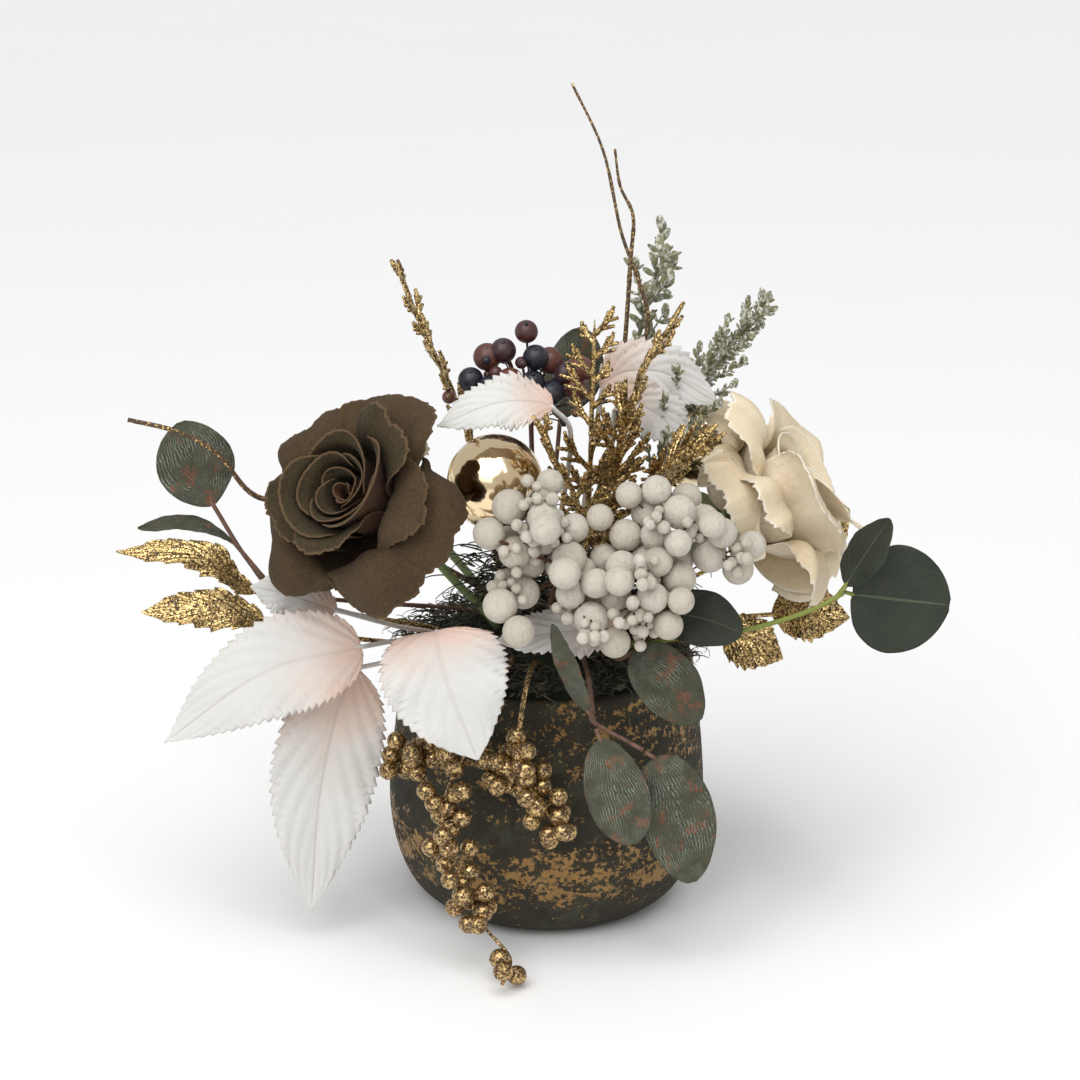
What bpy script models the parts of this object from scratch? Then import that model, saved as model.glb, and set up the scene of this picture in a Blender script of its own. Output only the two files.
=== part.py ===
"""Floral table centrepiece: fabric roses, berry picks, glittered sprigs and leaves stuck in a foam block
that fills a round stoneware pot. Metres, +Z up, origin at the centre of the pot's flat underside."""

import math

import bmesh
import bpy
from mathutils import Vector

MM = 0.001

# Driving dimensions of the pot and what fills it, in millimetres.
POT_HEIGHT = 115.0
POT_FOOT_R = 47.0
POT_BELLY_R = 72.0
POT_RIM_R = 66.0
POT_WALL = 5.0
FOAM_R = 54.0
FOAM_EDGE_Z = 119.0
FOAM_TOP_Z = 137.0
FIT_GAP = 0.4
MOSS_TOP_Z = 124.0
STEM_DEPTH = 15.0
STEM_AIM_Z = 60.0
STEM_R = 1.1
STRAIGHT_LEAD = 3.0
BLADE_THICKNESS = 0.9
PETAL_THICKNESS = 0.8
GOLDEN_ANGLE = math.radians(137.5)
BERRY_REACH = 0.95  # distance of a berry's centre from its branch, in berry radii

# Colour, roughness and metallic value of each finish.
FINISHES = {
    "stoneware": ((0.045, 0.048, 0.035), 0.75, 0.2),
    "foam": ((0.10, 0.16, 0.07), 0.95, 0.0),
    "moss": ((0.035, 0.035, 0.025), 0.95, 0.0),
    "stem_green": ((0.18, 0.24, 0.10), 0.6, 0.0),
    "stem_brown": ((0.16, 0.09, 0.05), 0.7, 0.0),
    "brown_petal": ((0.13, 0.09, 0.06), 0.85, 0.0),
    "cream_petal": ((0.74, 0.66, 0.54), 0.8, 0.0),
    "gold_ball": ((0.85, 0.62, 0.28), 0.12, 1.0),
    "white_berry": ((0.80, 0.76, 0.68), 0.6, 0.0),
    "dark_berry": ((0.08, 0.03, 0.03), 0.35, 0.0),
    "glitter": ((0.45, 0.32, 0.12), 0.4, 0.8),
    "frosted_green": ((0.35, 0.42, 0.28), 0.8, 0.0),
    "blush_leaf": ((0.88, 0.80, 0.76), 0.9, 0.0),
    "lamb_ear": ((0.22, 0.28, 0.22), 0.7, 0.1),
    "eucalyptus": ((0.05, 0.09, 0.06), 0.55, 0.0),
}

bores = []
joins = []


def clear_scene():
    for old in list(bpy.data.objects):
        bpy.data.objects.remove(old, do_unlink=True)


def collection(name):
    made = bpy.data.collections.new(name)
    bpy.context.scene.collection.children.link(made)
    return made


def finish_material(name):
    """One Principled material for each finish, made when it is first asked for."""
    known = bpy.data.materials.get(name)
    if known:
        return known
    colour, roughness, metallic = FINISHES[name]
    made = bpy.data.materials.new(name)
    made.use_nodes = True
    shader = made.node_tree.nodes["Principled BSDF"]
    shader.inputs["Base Color"].default_value = (*colour, 1.0)
    shader.inputs["Roughness"].default_value = roughness
    shader.inputs["Metallic"].default_value = metallic
    return made


def add(name, data, finish, group=None):
    """Links a mesh or curve as an object of the centrepiece, or of another collection."""
    obj = bpy.data.objects.new(name, data)
    (group or parts).objects.link(obj)
    data.materials.append(finish_material(finish))
    return obj


def helper(obj):
    """A cutter or a shape that a union takes in: it is no piece of its own."""
    obj.hide_render = True
    obj.display_type = "WIRE"
    return obj


def at(point):
    return Vector(point) * MM


# ---------------------------------------------------------------- routes


def foam_height(radius):
    """Height of the foam's domed top at this distance from the pot's axis."""
    return FOAM_TOP_Z - (FOAM_TOP_Z - FOAM_EDGE_Z) * (radius / FOAM_R) ** 2


def rooted(azimuth, ring, stem_r, waypoints):
    """A stem's points: it starts deep in the foam, leaves it at (azimuth, ring), then runs through waypoints.
    Every stem aims at one point low in the foam, so that no two meet inside it."""
    turn = math.radians(azimuth)
    entry = Vector((ring * math.cos(turn), ring * math.sin(turn), foam_height(ring)))
    along = (entry - Vector((0, 0, STEM_AIM_Z))).normalized()
    deep = entry - along * STEM_DEPTH
    bores.append((deep, along, stem_r))
    return [deep, entry + along * STRAIGHT_LEAD, *map(Vector, waypoints)]


def catmull(p0, p1, p2, p3, t):
    """A point of the smooth curve between p1 and p2."""
    return 0.5 * (
        2 * p1
        + (p2 - p0) * t
        + (2 * p0 - 5 * p1 + 4 * p2 - p3) * t * t
        + (3 * p1 - p0 - 3 * p2 + p3) * t**3
    )


def smooth(points, per_span, straight_first=False):
    """Points of a smooth curve through the given ones. The first span can stay straight, inside the foam."""
    points = [Vector(p) for p in points]
    ends = [2 * points[0] - points[1], *points, 2 * points[-1] - points[-2]]
    made = [points[0]]
    for i in range(len(points) - 1):
        steps = 1 if straight_first and i == 0 else per_span
        for k in range(1, steps + 1):
            made.append(catmull(*ends[i : i + 4], k / steps))
    return made


# ---------------------------------------------------------------- solids


def tube_curve(name, points, radius, tip_radius, finish, roundness=1):
    """A round stem: a curve with a bevel and filled caps, thinner towards its tip."""
    data = bpy.data.curves.new(name, "CURVE")
    data.dimensions = "3D"
    data.bevel_depth = radius * MM
    data.bevel_resolution = roundness
    data.use_fill_caps = True
    line = data.splines.new("POLY")
    line.points.add(len(points) - 1)
    for k, point in enumerate(points):
        share = k / (len(points) - 1)
        line.points[k].co = (*(point * MM), 1.0)
        line.points[k].radius = 1 + (tip_radius / radius - 1) * share
    return add(name, data, finish)


def tube_mesh(name, points, radius, tip_radius, finish, roundness=1):
    """The same stem as a mesh with its caps welded, ready for a Boolean."""
    curve = tube_curve(name + "_line", points, radius, tip_radius, finish, roundness)
    bpy.context.view_layer.update()
    graph = bpy.context.evaluated_depsgraph_get()
    mesh = bpy.data.meshes.new_from_object(curve.evaluated_get(graph))
    shape = bmesh.new()
    shape.from_mesh(mesh)
    bmesh.ops.remove_doubles(shape, verts=shape.verts, dist=0.01 * MM)
    shape.to_mesh(mesh)
    shape.free()
    made = add(name, mesh, finish)
    made.matrix_world = curve.matrix_world
    bpy.data.objects.remove(curve, do_unlink=True)
    return made


def ball(name, centre, radius, finish, segments=8, rings=5):
    mesh = bpy.data.meshes.new(name)
    shape = bmesh.new()
    bmesh.ops.create_uvsphere(shape, u_segments=segments, v_segments=rings, radius=radius * MM)
    shape.to_mesh(mesh)
    shape.free()
    mesh.shade_smooth()
    made = add(name, mesh, finish)
    made.location = at(centre)
    return made


def united(first, others):
    """Puts the others in a group of hidden helpers that one Boolean joins to the first solid."""
    group = bpy.data.collections.new(first.name + "_joined")
    cutters.children.link(group)
    for other in others:
        parts.objects.unlink(other)
        group.objects.link(helper(other))
    joins.append((first, "UNION", group))
    return first


def apply_joins():
    """Adds every Boolean at the end, once all of the shapes that they need are there."""
    for first, operation, group in joins:
        join = first.modifiers.new("join", "BOOLEAN")
        join.operation = operation
        join.solver = "EXACT"
        join.operand_type = "COLLECTION"
        join.collection = group


def turned(name, profile, finish, steps=40):
    """A solid of revolution. The profile is (radius, height) pairs in millimetres, and its outer side runs
    from top to bottom."""
    mesh = bpy.data.meshes.new(name)
    edges = [(i, i + 1) for i in range(len(profile) - 1) if profile[i][0] + profile[i + 1][0] > 0]
    mesh.from_pydata([(r * MM, 0, z * MM) for r, z in profile], edges, [])
    made = add(name, mesh, finish)
    spin = made.modifiers.new("turn", "SCREW")
    spin.steps = steps
    spin.render_steps = steps
    spin.use_merge_vertices = True
    spin.merge_threshold = 0.00001
    return made


def leaf(name, points, blade_at, length_share, width, facing, finish, stem_r=STEM_R, droop=0.12, blunt=0.5):
    """A leaf in one piece with its petiole: six-sided rings lofted along its route, round on the petiole and
    wide and thin on the blade. blade_at is the index of the blade's first point. length_share places the
    blade's widest ring, blunt rounds its ends, and droop lets its edges hang behind its midrib."""
    stem = smooth(points[: blade_at + 1], 2, straight_first=True)
    blade = smooth(points[blade_at - 1 :], 3)[3:]
    rings = [(p, stem_r, stem_r) for p in stem[:-1]]
    for k, point in enumerate(blade):
        share = k / (len(blade) - 1)
        bent = share ** (math.log(0.5) / math.log(length_share))
        half = max(width / 2 * math.sin(math.pi * bent) ** blunt, 0.8)
        thick = BLADE_THICKNESS / 2 + (stem_r - BLADE_THICKNESS / 2) * (1 - share) ** 6
        rings.append((point, max(half, stem_r * (1 - share)), thick))
    along = (Vector(points[-1]) - Vector(points[blade_at])).normalized()
    side_wanted = along.cross(Vector(facing)).normalized()
    shape = bmesh.new()
    loops = []
    for i, (point, half, thick) in enumerate(rings):
        ahead = rings[min(i + 1, len(rings) - 1)][0] - rings[max(i - 1, 0)][0]
        ahead.normalize()
        side = (side_wanted - ahead * side_wanted.dot(ahead)).normalized()
        up = side.cross(ahead)
        loop = []
        for across, rise in ((-1, 0), (-0.5, -0.87), (0.5, -0.87), (1, 0), (0.5, 0.87), (-0.5, 0.87)):
            sag = droop * half * across * across if half > 2 * stem_r else 0
            loop.append(shape.verts.new((point + side * (across * half) + up * (rise * thick - sag)) * MM))
        loops.append(loop)
    for a, b in zip(loops, loops[1:]):
        for k in range(6):
            shape.faces.new((a[k], a[(k + 1) % 6], b[(k + 1) % 6], b[k]))
    shape.faces.new(loops[0][::-1])
    shape.faces.new(loops[-1])
    bmesh.ops.recalc_face_normals(shape, faces=shape.faces)
    mesh = bpy.data.meshes.new(name)
    shape.to_mesh(mesh)
    shape.free()
    return add(name, mesh, finish)


# ---------------------------------------------------------------- pot, foam and moss


def make_pot():
    """A squat pot: flat foot, round shoulder below, belly low down and a slightly narrower rim."""
    outer = [
        (POT_RIM_R, POT_HEIGHT),
        (POT_RIM_R + 1.5, 98),
        (POT_BELLY_R - 1.5, 72),
        (POT_BELLY_R, 50),
        (POT_BELLY_R - 2, 30),
        (POT_BELLY_R - 8, 13),
        (POT_FOOT_R + 9, 4),
        (POT_FOOT_R, 0),
        (0, 0),
    ]
    inner = [
        (0, 9),
        (POT_FOOT_R - 3, 9),
        (POT_BELLY_R - 14, 20),
        (POT_BELLY_R - POT_WALL - 3, 35),
        (POT_BELLY_R - POT_WALL, 50),
        (POT_BELLY_R - POT_WALL - 2, 72),
        (POT_RIM_R - POT_WALL, 98),
        (POT_RIM_R - POT_WALL, POT_HEIGHT),
    ]
    return turned("pot", outer + inner + outer[:1], "stoneware", steps=36)


def make_foam():
    """Dry foam that fills the pot and domes up out of it. Each stem stands in its own hole."""
    wall = POT_RIM_R - POT_WALL - FIT_GAP
    dome = [(r, foam_height(r)) for r in (0, 18, 36, FOAM_R)]
    profile = dome + [
        (FOAM_R, POT_HEIGHT + 0.2),
        (wall - 4, POT_HEIGHT - 6),
        (wall, 98),
        (POT_BELLY_R - POT_WALL - 2.6, 72),
        (POT_BELLY_R - POT_WALL - 0.8, 50),
        (POT_BELLY_R - POT_WALL - 4, 35.3),
        (POT_BELLY_R - 15.2, 20.8),
        (POT_FOOT_R - 4.5, 9.4),
        (0, 9.4),
    ]
    foam = turned("foam_block", profile, "foam", steps=24)
    group = bpy.data.collections.new("stem_holes")
    cutters.children.link(group)
    for k, (deep, along, stem_r) in enumerate(bores):
        mesh = bpy.data.meshes.new(f"hole_{k}")
        shape = bmesh.new()
        radius = (stem_r + FIT_GAP) / math.cos(math.pi / 6)
        length = STEM_DEPTH + 2 * STRAIGHT_LEAD + FIT_GAP
        bmesh.ops.create_cone(
            shape,
            cap_ends=True,
            segments=6,
            radius1=radius * MM,
            radius2=radius * MM,
            depth=length * MM,
        )
        shape.to_mesh(mesh)
        shape.free()
        hole = helper(add(f"hole_{k}", mesh, "foam", group))
        hole.location = (deep + along * (length / 2 - FIT_GAP)) * MM
        hole.rotation_mode = "QUATERNION"
        hole.rotation_quaternion = along.to_track_quat("Z", "Y")
    joins.append((foam, "DIFFERENCE", group))
    return foam


def make_moss():
    """A ring of moss tucked between the foam and the rim, a little over the rim's edge."""
    inside = FOAM_R + FIT_GAP + 0.4
    section = [
        (inside, POT_HEIGHT + 0.6),
        (inside + 1, MOSS_TOP_Z - 3),
        (inside + 5, MOSS_TOP_Z),
        (POT_RIM_R, MOSS_TOP_Z - 2),
        (POT_RIM_R + 3.5, POT_HEIGHT + 3),
        (POT_RIM_R + 2, POT_HEIGHT + 0.6),
        (inside, POT_HEIGHT + 0.6),
    ]
    return turned("moss_ring", section, "moss", steps=24)


# ---------------------------------------------------------------- roses

# Direction of a petal's run from the rose's axis, in degrees, at shares of its length:
# tight inner layers (0) stand up, and outer layers (1) spread out and roll back.
RUN_SHARES = (0.0, 0.35, 0.65, 0.85, 1.0)
RUN_INNER = (18, 32, -4, 2, 12)
RUN_OUTER = (34, 86, 58, 78, 128)
PETAL_ROWS = 5
PETAL_COLUMNS = 5


def between(shares, values, s):
    for i in range(len(shares) - 1):
        if s <= shares[i + 1]:
            part = (s - shares[i]) / (shares[i + 1] - shares[i])
            return values[i] + (values[i + 1] - values[i]) * part
    return values[-1]


def petal_run(layer, size, reach):
    """(radius, height) in millimetres at a share of the petal's length, by adding up small straight steps."""
    length = (36 + 4 * layer) * size
    radius = (4.5 + 10 * layer) * size
    height = 0.0
    steps = 24
    for k in range(steps):
        s = (k + 0.5) / steps * reach
        inner = between(RUN_SHARES, RUN_INNER, s)
        outer = between(RUN_SHARES, RUN_OUTER, s)
        turn = math.radians(inner + (outer - inner) * layer)
        radius += length * reach / steps * math.sin(turn)
        height += length * reach / steps * math.cos(turn)
    return radius, height


def place_on_axis(obj, base, axis):
    obj.location = at(base)
    obj.rotation_mode = "QUATERNION"
    obj.rotation_quaternion = Vector(axis).to_track_quat("Z", "Y")
    return obj


def petal(name, base, axis, layer, azimuth, spread, size, finish):
    """One fabric petal: a grid bent onto its layer's bell, with round top corners, then given a thickness."""
    mesh = bpy.data.meshes.new(name)
    shape = bmesh.new()
    bmesh.ops.create_grid(shape, x_segments=PETAL_COLUMNS, y_segments=PETAL_ROWS, size=1.0)
    for vert in shape.verts:
        across, up = vert.co.x, (vert.co.y + 1) / 2
        reach = up * (1 - 0.3 * abs(across) ** 3)
        radius, height = petal_run(layer, size, reach)
        turn = math.radians(azimuth + spread * across)
        vert.co = Vector((radius * math.cos(turn), radius * math.sin(turn), height)) * MM
    shape.to_mesh(mesh)
    shape.free()
    made = place_on_axis(add(name, mesh, finish), base, axis)
    thicken = made.modifiers.new("thickness", "SOLIDIFY")
    thicken.thickness = PETAL_THICKNESS * MM
    thicken.offset = 0.0
    return made


def rose(name, base, axis, root, waypoints, petals, spread, size, finish):
    """A rose pick: stem with its calyx, a rolled heart and petals. Each petal has its azimuth round the axis
    in degrees and its own layer, so that petals which overlap never lie in the same bell."""
    direction = Vector(axis).normalized()
    base = Vector(base)
    neck = base - direction * 9 * size
    route = rooted(*root, 1.9, [*waypoints, neck - direction * 8, neck + direction * 1])
    stem = tube_mesh(name + "_stem", smooth(route, 2, True), 1.9, 1.9, "stem_green")
    cup_foot = -9 * size - 1
    cup = [(0, -0.7), (15.5 * size, -0.7), (15 * size, -2), (9 * size, -6), (4, cup_foot), (0, cup_foot)]
    calyx = place_on_axis(turned(name + "_calyx", cup, "stem_green", steps=12), base, direction)
    united(stem, [calyx])
    bud = [(0, 33), (9, 32), (13.5, 27), (13.5, 19), (10.5, 10), (4.6, 0.1), (0, 0.1)]
    heart = turned(name + "_heart", [(r * size, z * size) for r, z in bud], finish, steps=12)
    place_on_axis(heart, base, direction)
    for k, (azimuth, layer) in enumerate(petals):
        petal(f"{name}_petal_{k + 1}", base, direction, layer, azimuth, spread, size, finish)


def make_roses():
    rose(
        "brown_rose",
        base=(-69.5, -53.8, 197.2),
        axis=(-0.50, -0.68, 0.54),
        root=(215, 28),
        waypoints=[(-42, -29, 160)],
        petals=((15, 0.25), (150, 0.40), (300, 0.70), (78, 0.55), (232, 0.85), (345, 1.0)),
        spread=56,
        size=1.2,
        finish="brown_petal",
    )
    rose(
        "cream_rose",
        base=(85.5, -4.6, 178.5),
        axis=(0.80, -0.18, 0.57),
        root=(350, 30),
        waypoints=[(56, -2, 158)],
        petals=((185, 0.30), (320, 0.48), (105, 0.66), (250, 0.84), (150, 1.0)),
        spread=56,
        size=1.28,
        finish="cream_petal",
    )
    rose(
        "back_rose",
        base=(-74.6, 29.0, 190.0),
        axis=(-0.45, 0.75, 0.48),
        root=(150, 30),
        waypoints=[(-48, 20, 160)],
        petals=((30, 0.40), (167, 0.70), (305, 1.0)),
        spread=62,
        size=0.95,
        finish="cream_petal",
    )


# ---------------------------------------------------------------- ornaments


def ornament(name, centre, radius, root, waypoints):
    """A shiny ball on its own wire pick."""
    route = rooted(*root, STEM_R, [*waypoints, centre])
    pick = tube_mesh(name + "_pick", smooth(route, 2, True), STEM_R, STEM_R, "gold_ball")
    united_ball = ball(name, centre, radius, "gold_ball", 20, 12)
    return united(united_ball, [pick])


def make_ornaments():
    ornament("gold_ball_front", (-22.2, -42.0, 206.9), 20.5, (245, 16), [(-13, -28, 172)])
    ornament("gold_ball_back", (70.0, 34.0, 203.0), 20.0, (35, 20), [(42, 21, 167)])


# ---------------------------------------------------------------- berry sprays


def frame_of(direction):
    """Two directions across a run, for setting things round it."""
    side = direction.cross(Vector((0, 0, 1)))
    if side.length < 0.1:
        side = direction.cross(Vector((0, 1, 0)))
    side.normalize()
    return side, direction.cross(side).normalized()


def berries_along(route, count, reach, start=0.0):
    """Berry centres set round a branch at the golden angle, evenly spaced from its start share to its tip."""
    line = smooth(route, 8)
    made = []
    for k in range(count):
        share = start + (1 - start) * (k + 0.5) / count
        i = min(int(share * (len(line) - 1)), len(line) - 2)
        part = share * (len(line) - 1) - i
        point = line[i].lerp(line[i + 1], part)
        side, up = frame_of((line[i + 1] - line[i]).normalized())
        turn = k * GOLDEN_ANGLE
        made.append(point + (side * math.cos(turn) + up * math.sin(turn)) * reach)
    return made


def berry_spray(name, main, branches, berry_r, stem_finish, finish, segments=6, rings=4):
    """A wired spray: a main stem, branches that start on it, and berries round each branch."""
    stem = tube_mesh(name, smooth(main, 2, True), STEM_R, STEM_R, finish)
    joined = []
    for b, (route, count, start) in enumerate(branches):
        branch = smooth(route, 2)
        joined.append(tube_mesh(f"{name}_branch_{b}", branch, STEM_R * 0.8, STEM_R * 0.7, stem_finish, 0))
        for k, centre in enumerate(berries_along(route, count, berry_r * BERRY_REACH, start)):
            joined.append(ball(f"{name}_berry_{b}_{k}", centre, berry_r, finish, segments, rings))
    return united(stem, joined)


def make_white_berries():
    berry_spray(
        "white_berries_left",
        rooted(262, 32, STEM_R, [(0, -52, 152), (4, -72, 172), (8, -84, 183)]),
        [
            ([(8, -84, 183), (-6, -90, 190), (-20, -92, 197)], 1, 0.6),
            ([(4, -74, 174), (-8, -86, 172), (-22, -92, 171)], 3, 0.45),
            ([(8, -84, 183), (6, -86, 194), (-3, -86, 204), (-14, -84, 211)], 8, 0.1),
        ],
        6.4,
        "stem_brown",
        "white_berry",
    )
    berry_spray(
        "white_berries_right",
        rooted(298, 32, STEM_R, [(22, -48, 152), (28, -70, 168), (32, -86, 180)]),
        [
            ([(28, -70, 168), (18, -90, 167), (13, -98, 171)], 3, 0.35),
            ([(32, -86, 180), (37, -95, 170), (45, -96, 164)], 4, 0.3),
            ([(32, -86, 180), (42, -90, 186), (54, -90, 180)], 5, 0.0),
            ([(28, -70, 168), (36, -78, 197), (50, -80, 207), (67, -82, 195), (74, -82, 180)], 9, 0.3),
        ],
        6.4,
        "stem_brown",
        "white_berry",
    )


def make_dark_berries():
    """Short-stalked berries that fan out from one fork at the top of a straight pick."""
    fork = Vector((-7, -4, 222))
    main = rooted(120, 10, STEM_R, [(-6, 4, 180), fork])
    heads = [
        (-33, -9, 243),
        (-26, -4, 252),
        (-25, -14, 241),
        (-19, -5, 255),
        (-16, -12, 243),
        (-9, -3, 263),
        (-5, -9, 253),
        (1, -3, 250),
        (-6, -12, 243),
        (8, -6, 245),
        (14, -2, 246),
        (13, -10, 238),
        (2, -12, 238),
    ]
    joined = []
    for k, head in enumerate(heads):
        head = Vector(head)
        bend = fork.lerp(head, 0.5) + Vector((0, 0, 3))
        joined.append(tube_mesh(f"dark_stalk_{k}", smooth([fork, bend, head], 1), 0.9, 0.7, "stem_brown", 0))
        joined.append(ball(f"dark_berry_{k}", head, 4.4, "dark_berry", 6, 4))
    united(tube_mesh("dark_berry_spray", smooth(main, 2, True), STEM_R, STEM_R, "dark_berry"), joined)


def make_gold_trails():
    """Two glittered berry trails over the front rim. The left one ends lying on the table."""
    berry_spray(
        "gold_berries_left",
        rooted(252, 44, STEM_R, [(-16, -66, 133), (-22, -78, 128), (-28, -84, 112)]),
        [
            ([(-24, -80, 124), (-46, -76, 100), (-66, -62, 86)], 8, 0.35),
            ([(-28, -84, 112), (-42, -84, 84), (-44, -86, 62), (-34, -88, 38), (-29, -89, 22)], 12, 0.15),
            ([(-34, -88, 38), (-27, -90, 22), (-16, -98, 11), (-19, -114, 6.8)], 3, 0.6),
        ],
        4.5,
        "glitter",
        "glitter",
    )
    berry_spray(
        "gold_berries_right",
        rooted(266, 46, STEM_R, [(-6, -66, 133), (-9, -80, 128), (-12, -85, 110)]),
        [
            ([(-12, -85, 112), (-14, -85, 96), (-4, -86, 80), (8, -86, 60)], 13, 0.1),
            ([(-12, -85, 112), (-16, -84, 100), (-20, -84, 84)], 3, 0.5),
        ],
        4.5,
        "glitter",
        "glitter",
    )


# ---------------------------------------------------------------- sprigs and twigs


def sprig(name, root, waypoints, twigs, twig_length, radius, finish, others=(), lean=0.75, first=0.35):
    """A sprig: a tapered main run with short side twigs left and right, shorter towards the tip."""
    route = rooted(*root, radius, waypoints)
    main = tube_mesh(name, smooth(route, 2, True), radius, radius * 0.7, finish)
    joined = list(others)
    line = smooth(route[2:], 8)
    for k in range(twigs):
        share = first + (0.95 - first) * k / max(twigs - 1, 1)
        i = min(int(share * (len(line) - 1)), len(line) - 2)
        ahead = (line[i + 1] - line[i]).normalized()
        side, up = frame_of(ahead)
        out = side * (1 if k % 2 else -1) + up * (0.5 if k % 3 else -0.5)
        reach = twig_length * (1.1 - 0.6 * share)
        end = line[i] + (ahead * lean + out.normalized() * (1 - lean * 0.4)).normalized() * reach
        joined.append(tube_mesh(f"{name}_twig_{k}", [line[i], end], radius * 1.3, radius, finish, 0))
    return united(main, joined)


def make_cedar():
    sprig(
        "gold_cedar_far_left",
        (160, 20),
        [(-28, 3, 190), (-40, 0, 232), (-53, 0, 261), (-66, 0, 296)],
        7,
        15,
        1.5,
        "glitter",
    )
    sprig(
        "gold_cedar_tall",
        (300, 14),
        [(15, -26, 170), (18, -34, 203), (19, -34, 241), (20, -30, 275)],
        8,
        15,
        1.5,
        "glitter",
    )
    low_run = [(24, -36, 190), (38, -48, 205), (52, -56, 217), (68, -58, 230)]
    low = tube_mesh("cedar_low_run", smooth(low_run, 2), 1.5, 1.2, "glitter")
    sprig(
        "gold_cedar_right",
        (318, 26),
        [(23, -31, 172), (27, -37, 205), (39, -34, 249), (56, -28, 279)],
        7,
        16,
        1.5,
        "glitter",
        others=[low],
    )
    sprig(
        "gold_cedar_low_left",
        (278, 25),
        [(8, -42, 165), (13, -52, 198), (3, -57, 221), (-3, -59, 238)],
        6,
        11,
        1.4,
        "glitter",
    )


def make_twigs():
    """Curly willow: two long twigs from one pick at the top, and one that reaches out to the left."""
    main = rooted(50, 14, 1.5, [(24, 10, 190), (35, 9, 235), (44, 11, 262), (40, 10, 282), (32, 10, 304)])
    tall = smooth([*main, (24, 11, 339), (10.5, 10, 368)], 2, True)
    short_run = [
        (31, 9.5, 222),
        (34, 15, 250),
        (36.6, 20, 290),
        (37.4, 20, 309),
        (31.7, 22, 322),
        (29.3, 22, 338),
    ]
    short = tube_mesh("willow_short_run", smooth(short_run, 2), 1.2, 0.7, "glitter")
    united(tube_mesh("willow_twigs_tall", tall, 1.5, 0.7, "glitter"), [short])
    left = rooted(175, 20, 1.5, [(-66, -2, 166), (-108, -10, 186), (-128, -18, 194), (-142, -24, 214)])
    reach = smooth([*left, (-158, -28, 225), (-179, -30, 231)], 2, True)
    tube_curve("willow_twig_left", reach, 1.5, 1.1, "glitter")


def make_frosted_sprigs():
    sprig(
        "frosted_boxwood",
        (65, 26),
        [(28, 30, 200), (41, 34, 252), (46, 35, 270), (53, 36, 293)],
        8,
        13,
        1.4,
        "frosted_green",
        first=0.5,
    )
    sprig(
        "frosted_pine",
        (12, 24),
        [(44, 3, 180), (56, 6, 218), (78, 13, 250), (100, 18, 275)],
        9,
        17,
        2.0,
        "frosted_green",
        first=0.4,
    )


# ---------------------------------------------------------------- leaves


def make_blush_leaves():
    """Velvet leaves with toothed edges, each on its own petiole."""
    front = (-0.1, -0.9, 0.35)
    leaf(
        "blush_leaf_long",
        rooted(207, 44, STEM_R, [(-60, -40, 135), (-79, -66, 141), (-120, -68, 130), (-165, -60, 95)]),
        3,
        0.38,
        40,
        front,
        "blush_leaf",
    )
    leaf(
        "blush_leaf_hanging",
        rooted(220, 46, STEM_R, [(-58, -49, 130), (-82, -57, 128), (-97, -60, 78), (-104, -60, 15)]),
        3,
        0.42,
        44,
        (0.15, -1.0, 0.1),
        "blush_leaf",
    )
    leaf(
        "blush_leaf_front",
        rooted(234, 46, STEM_R, [(-38, -66, 135), (-46, -88, 156), (-41, -98, 136), (-29, -101, 104)]),
        3,
        0.36,
        52,
        (0.05, -1.0, 0.25),
        "blush_leaf",
        blunt=0.4,
    )
    leaf(
        "blush_leaf_behind_rose",
        rooted(195, 46, STEM_R, [(-66, -26, 136), (-91, -44, 150), (-109, -46, 157), (-127, -48, 162)]),
        3,
        0.45,
        20,
        (0, -0.9, 0.4),
        "blush_leaf",
    )
    leaf(
        "blush_leaf_above_ball",
        rooted(
            275,
            12,
            STEM_R,
            [(5, -24, 180), (10, -38, 226), (2, -46, 241), (-20, -51, 244), (-46, -55, 235)],
        ),
        4,
        0.42,
        22,
        (0, -0.75, 0.65),
        "blush_leaf",
    )
    leaf(
        "blush_leaf_top_right",
        rooted(340, 12, STEM_R, [(17, -2, 190), (24, 0, 236), (47, -6, 246), (75, -10, 232)]),
        3,
        0.42,
        26,
        (0, -0.9, 0.4),
        "blush_leaf",
    )
    leaf(
        "blush_leaf_mid_right",
        rooted(330, 20, STEM_R, [(23, -14, 185), (29, -15, 231), (47, -17, 230), (61, -20, 214)]),
        3,
        0.45,
        22,
        (-0.2, -0.7, 0.6),
        "blush_leaf",
    )
    leaf(
        "blush_leaf_under_berries",
        rooted(279, 46, STEM_R, [(18, -55, 140), (30, -60, 147), (6, -72, 150), (-22, -82, 149)]),
        3,
        0.45,
        26,
        (0.1, -0.45, 0.9),
        "blush_leaf",
    )


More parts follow.
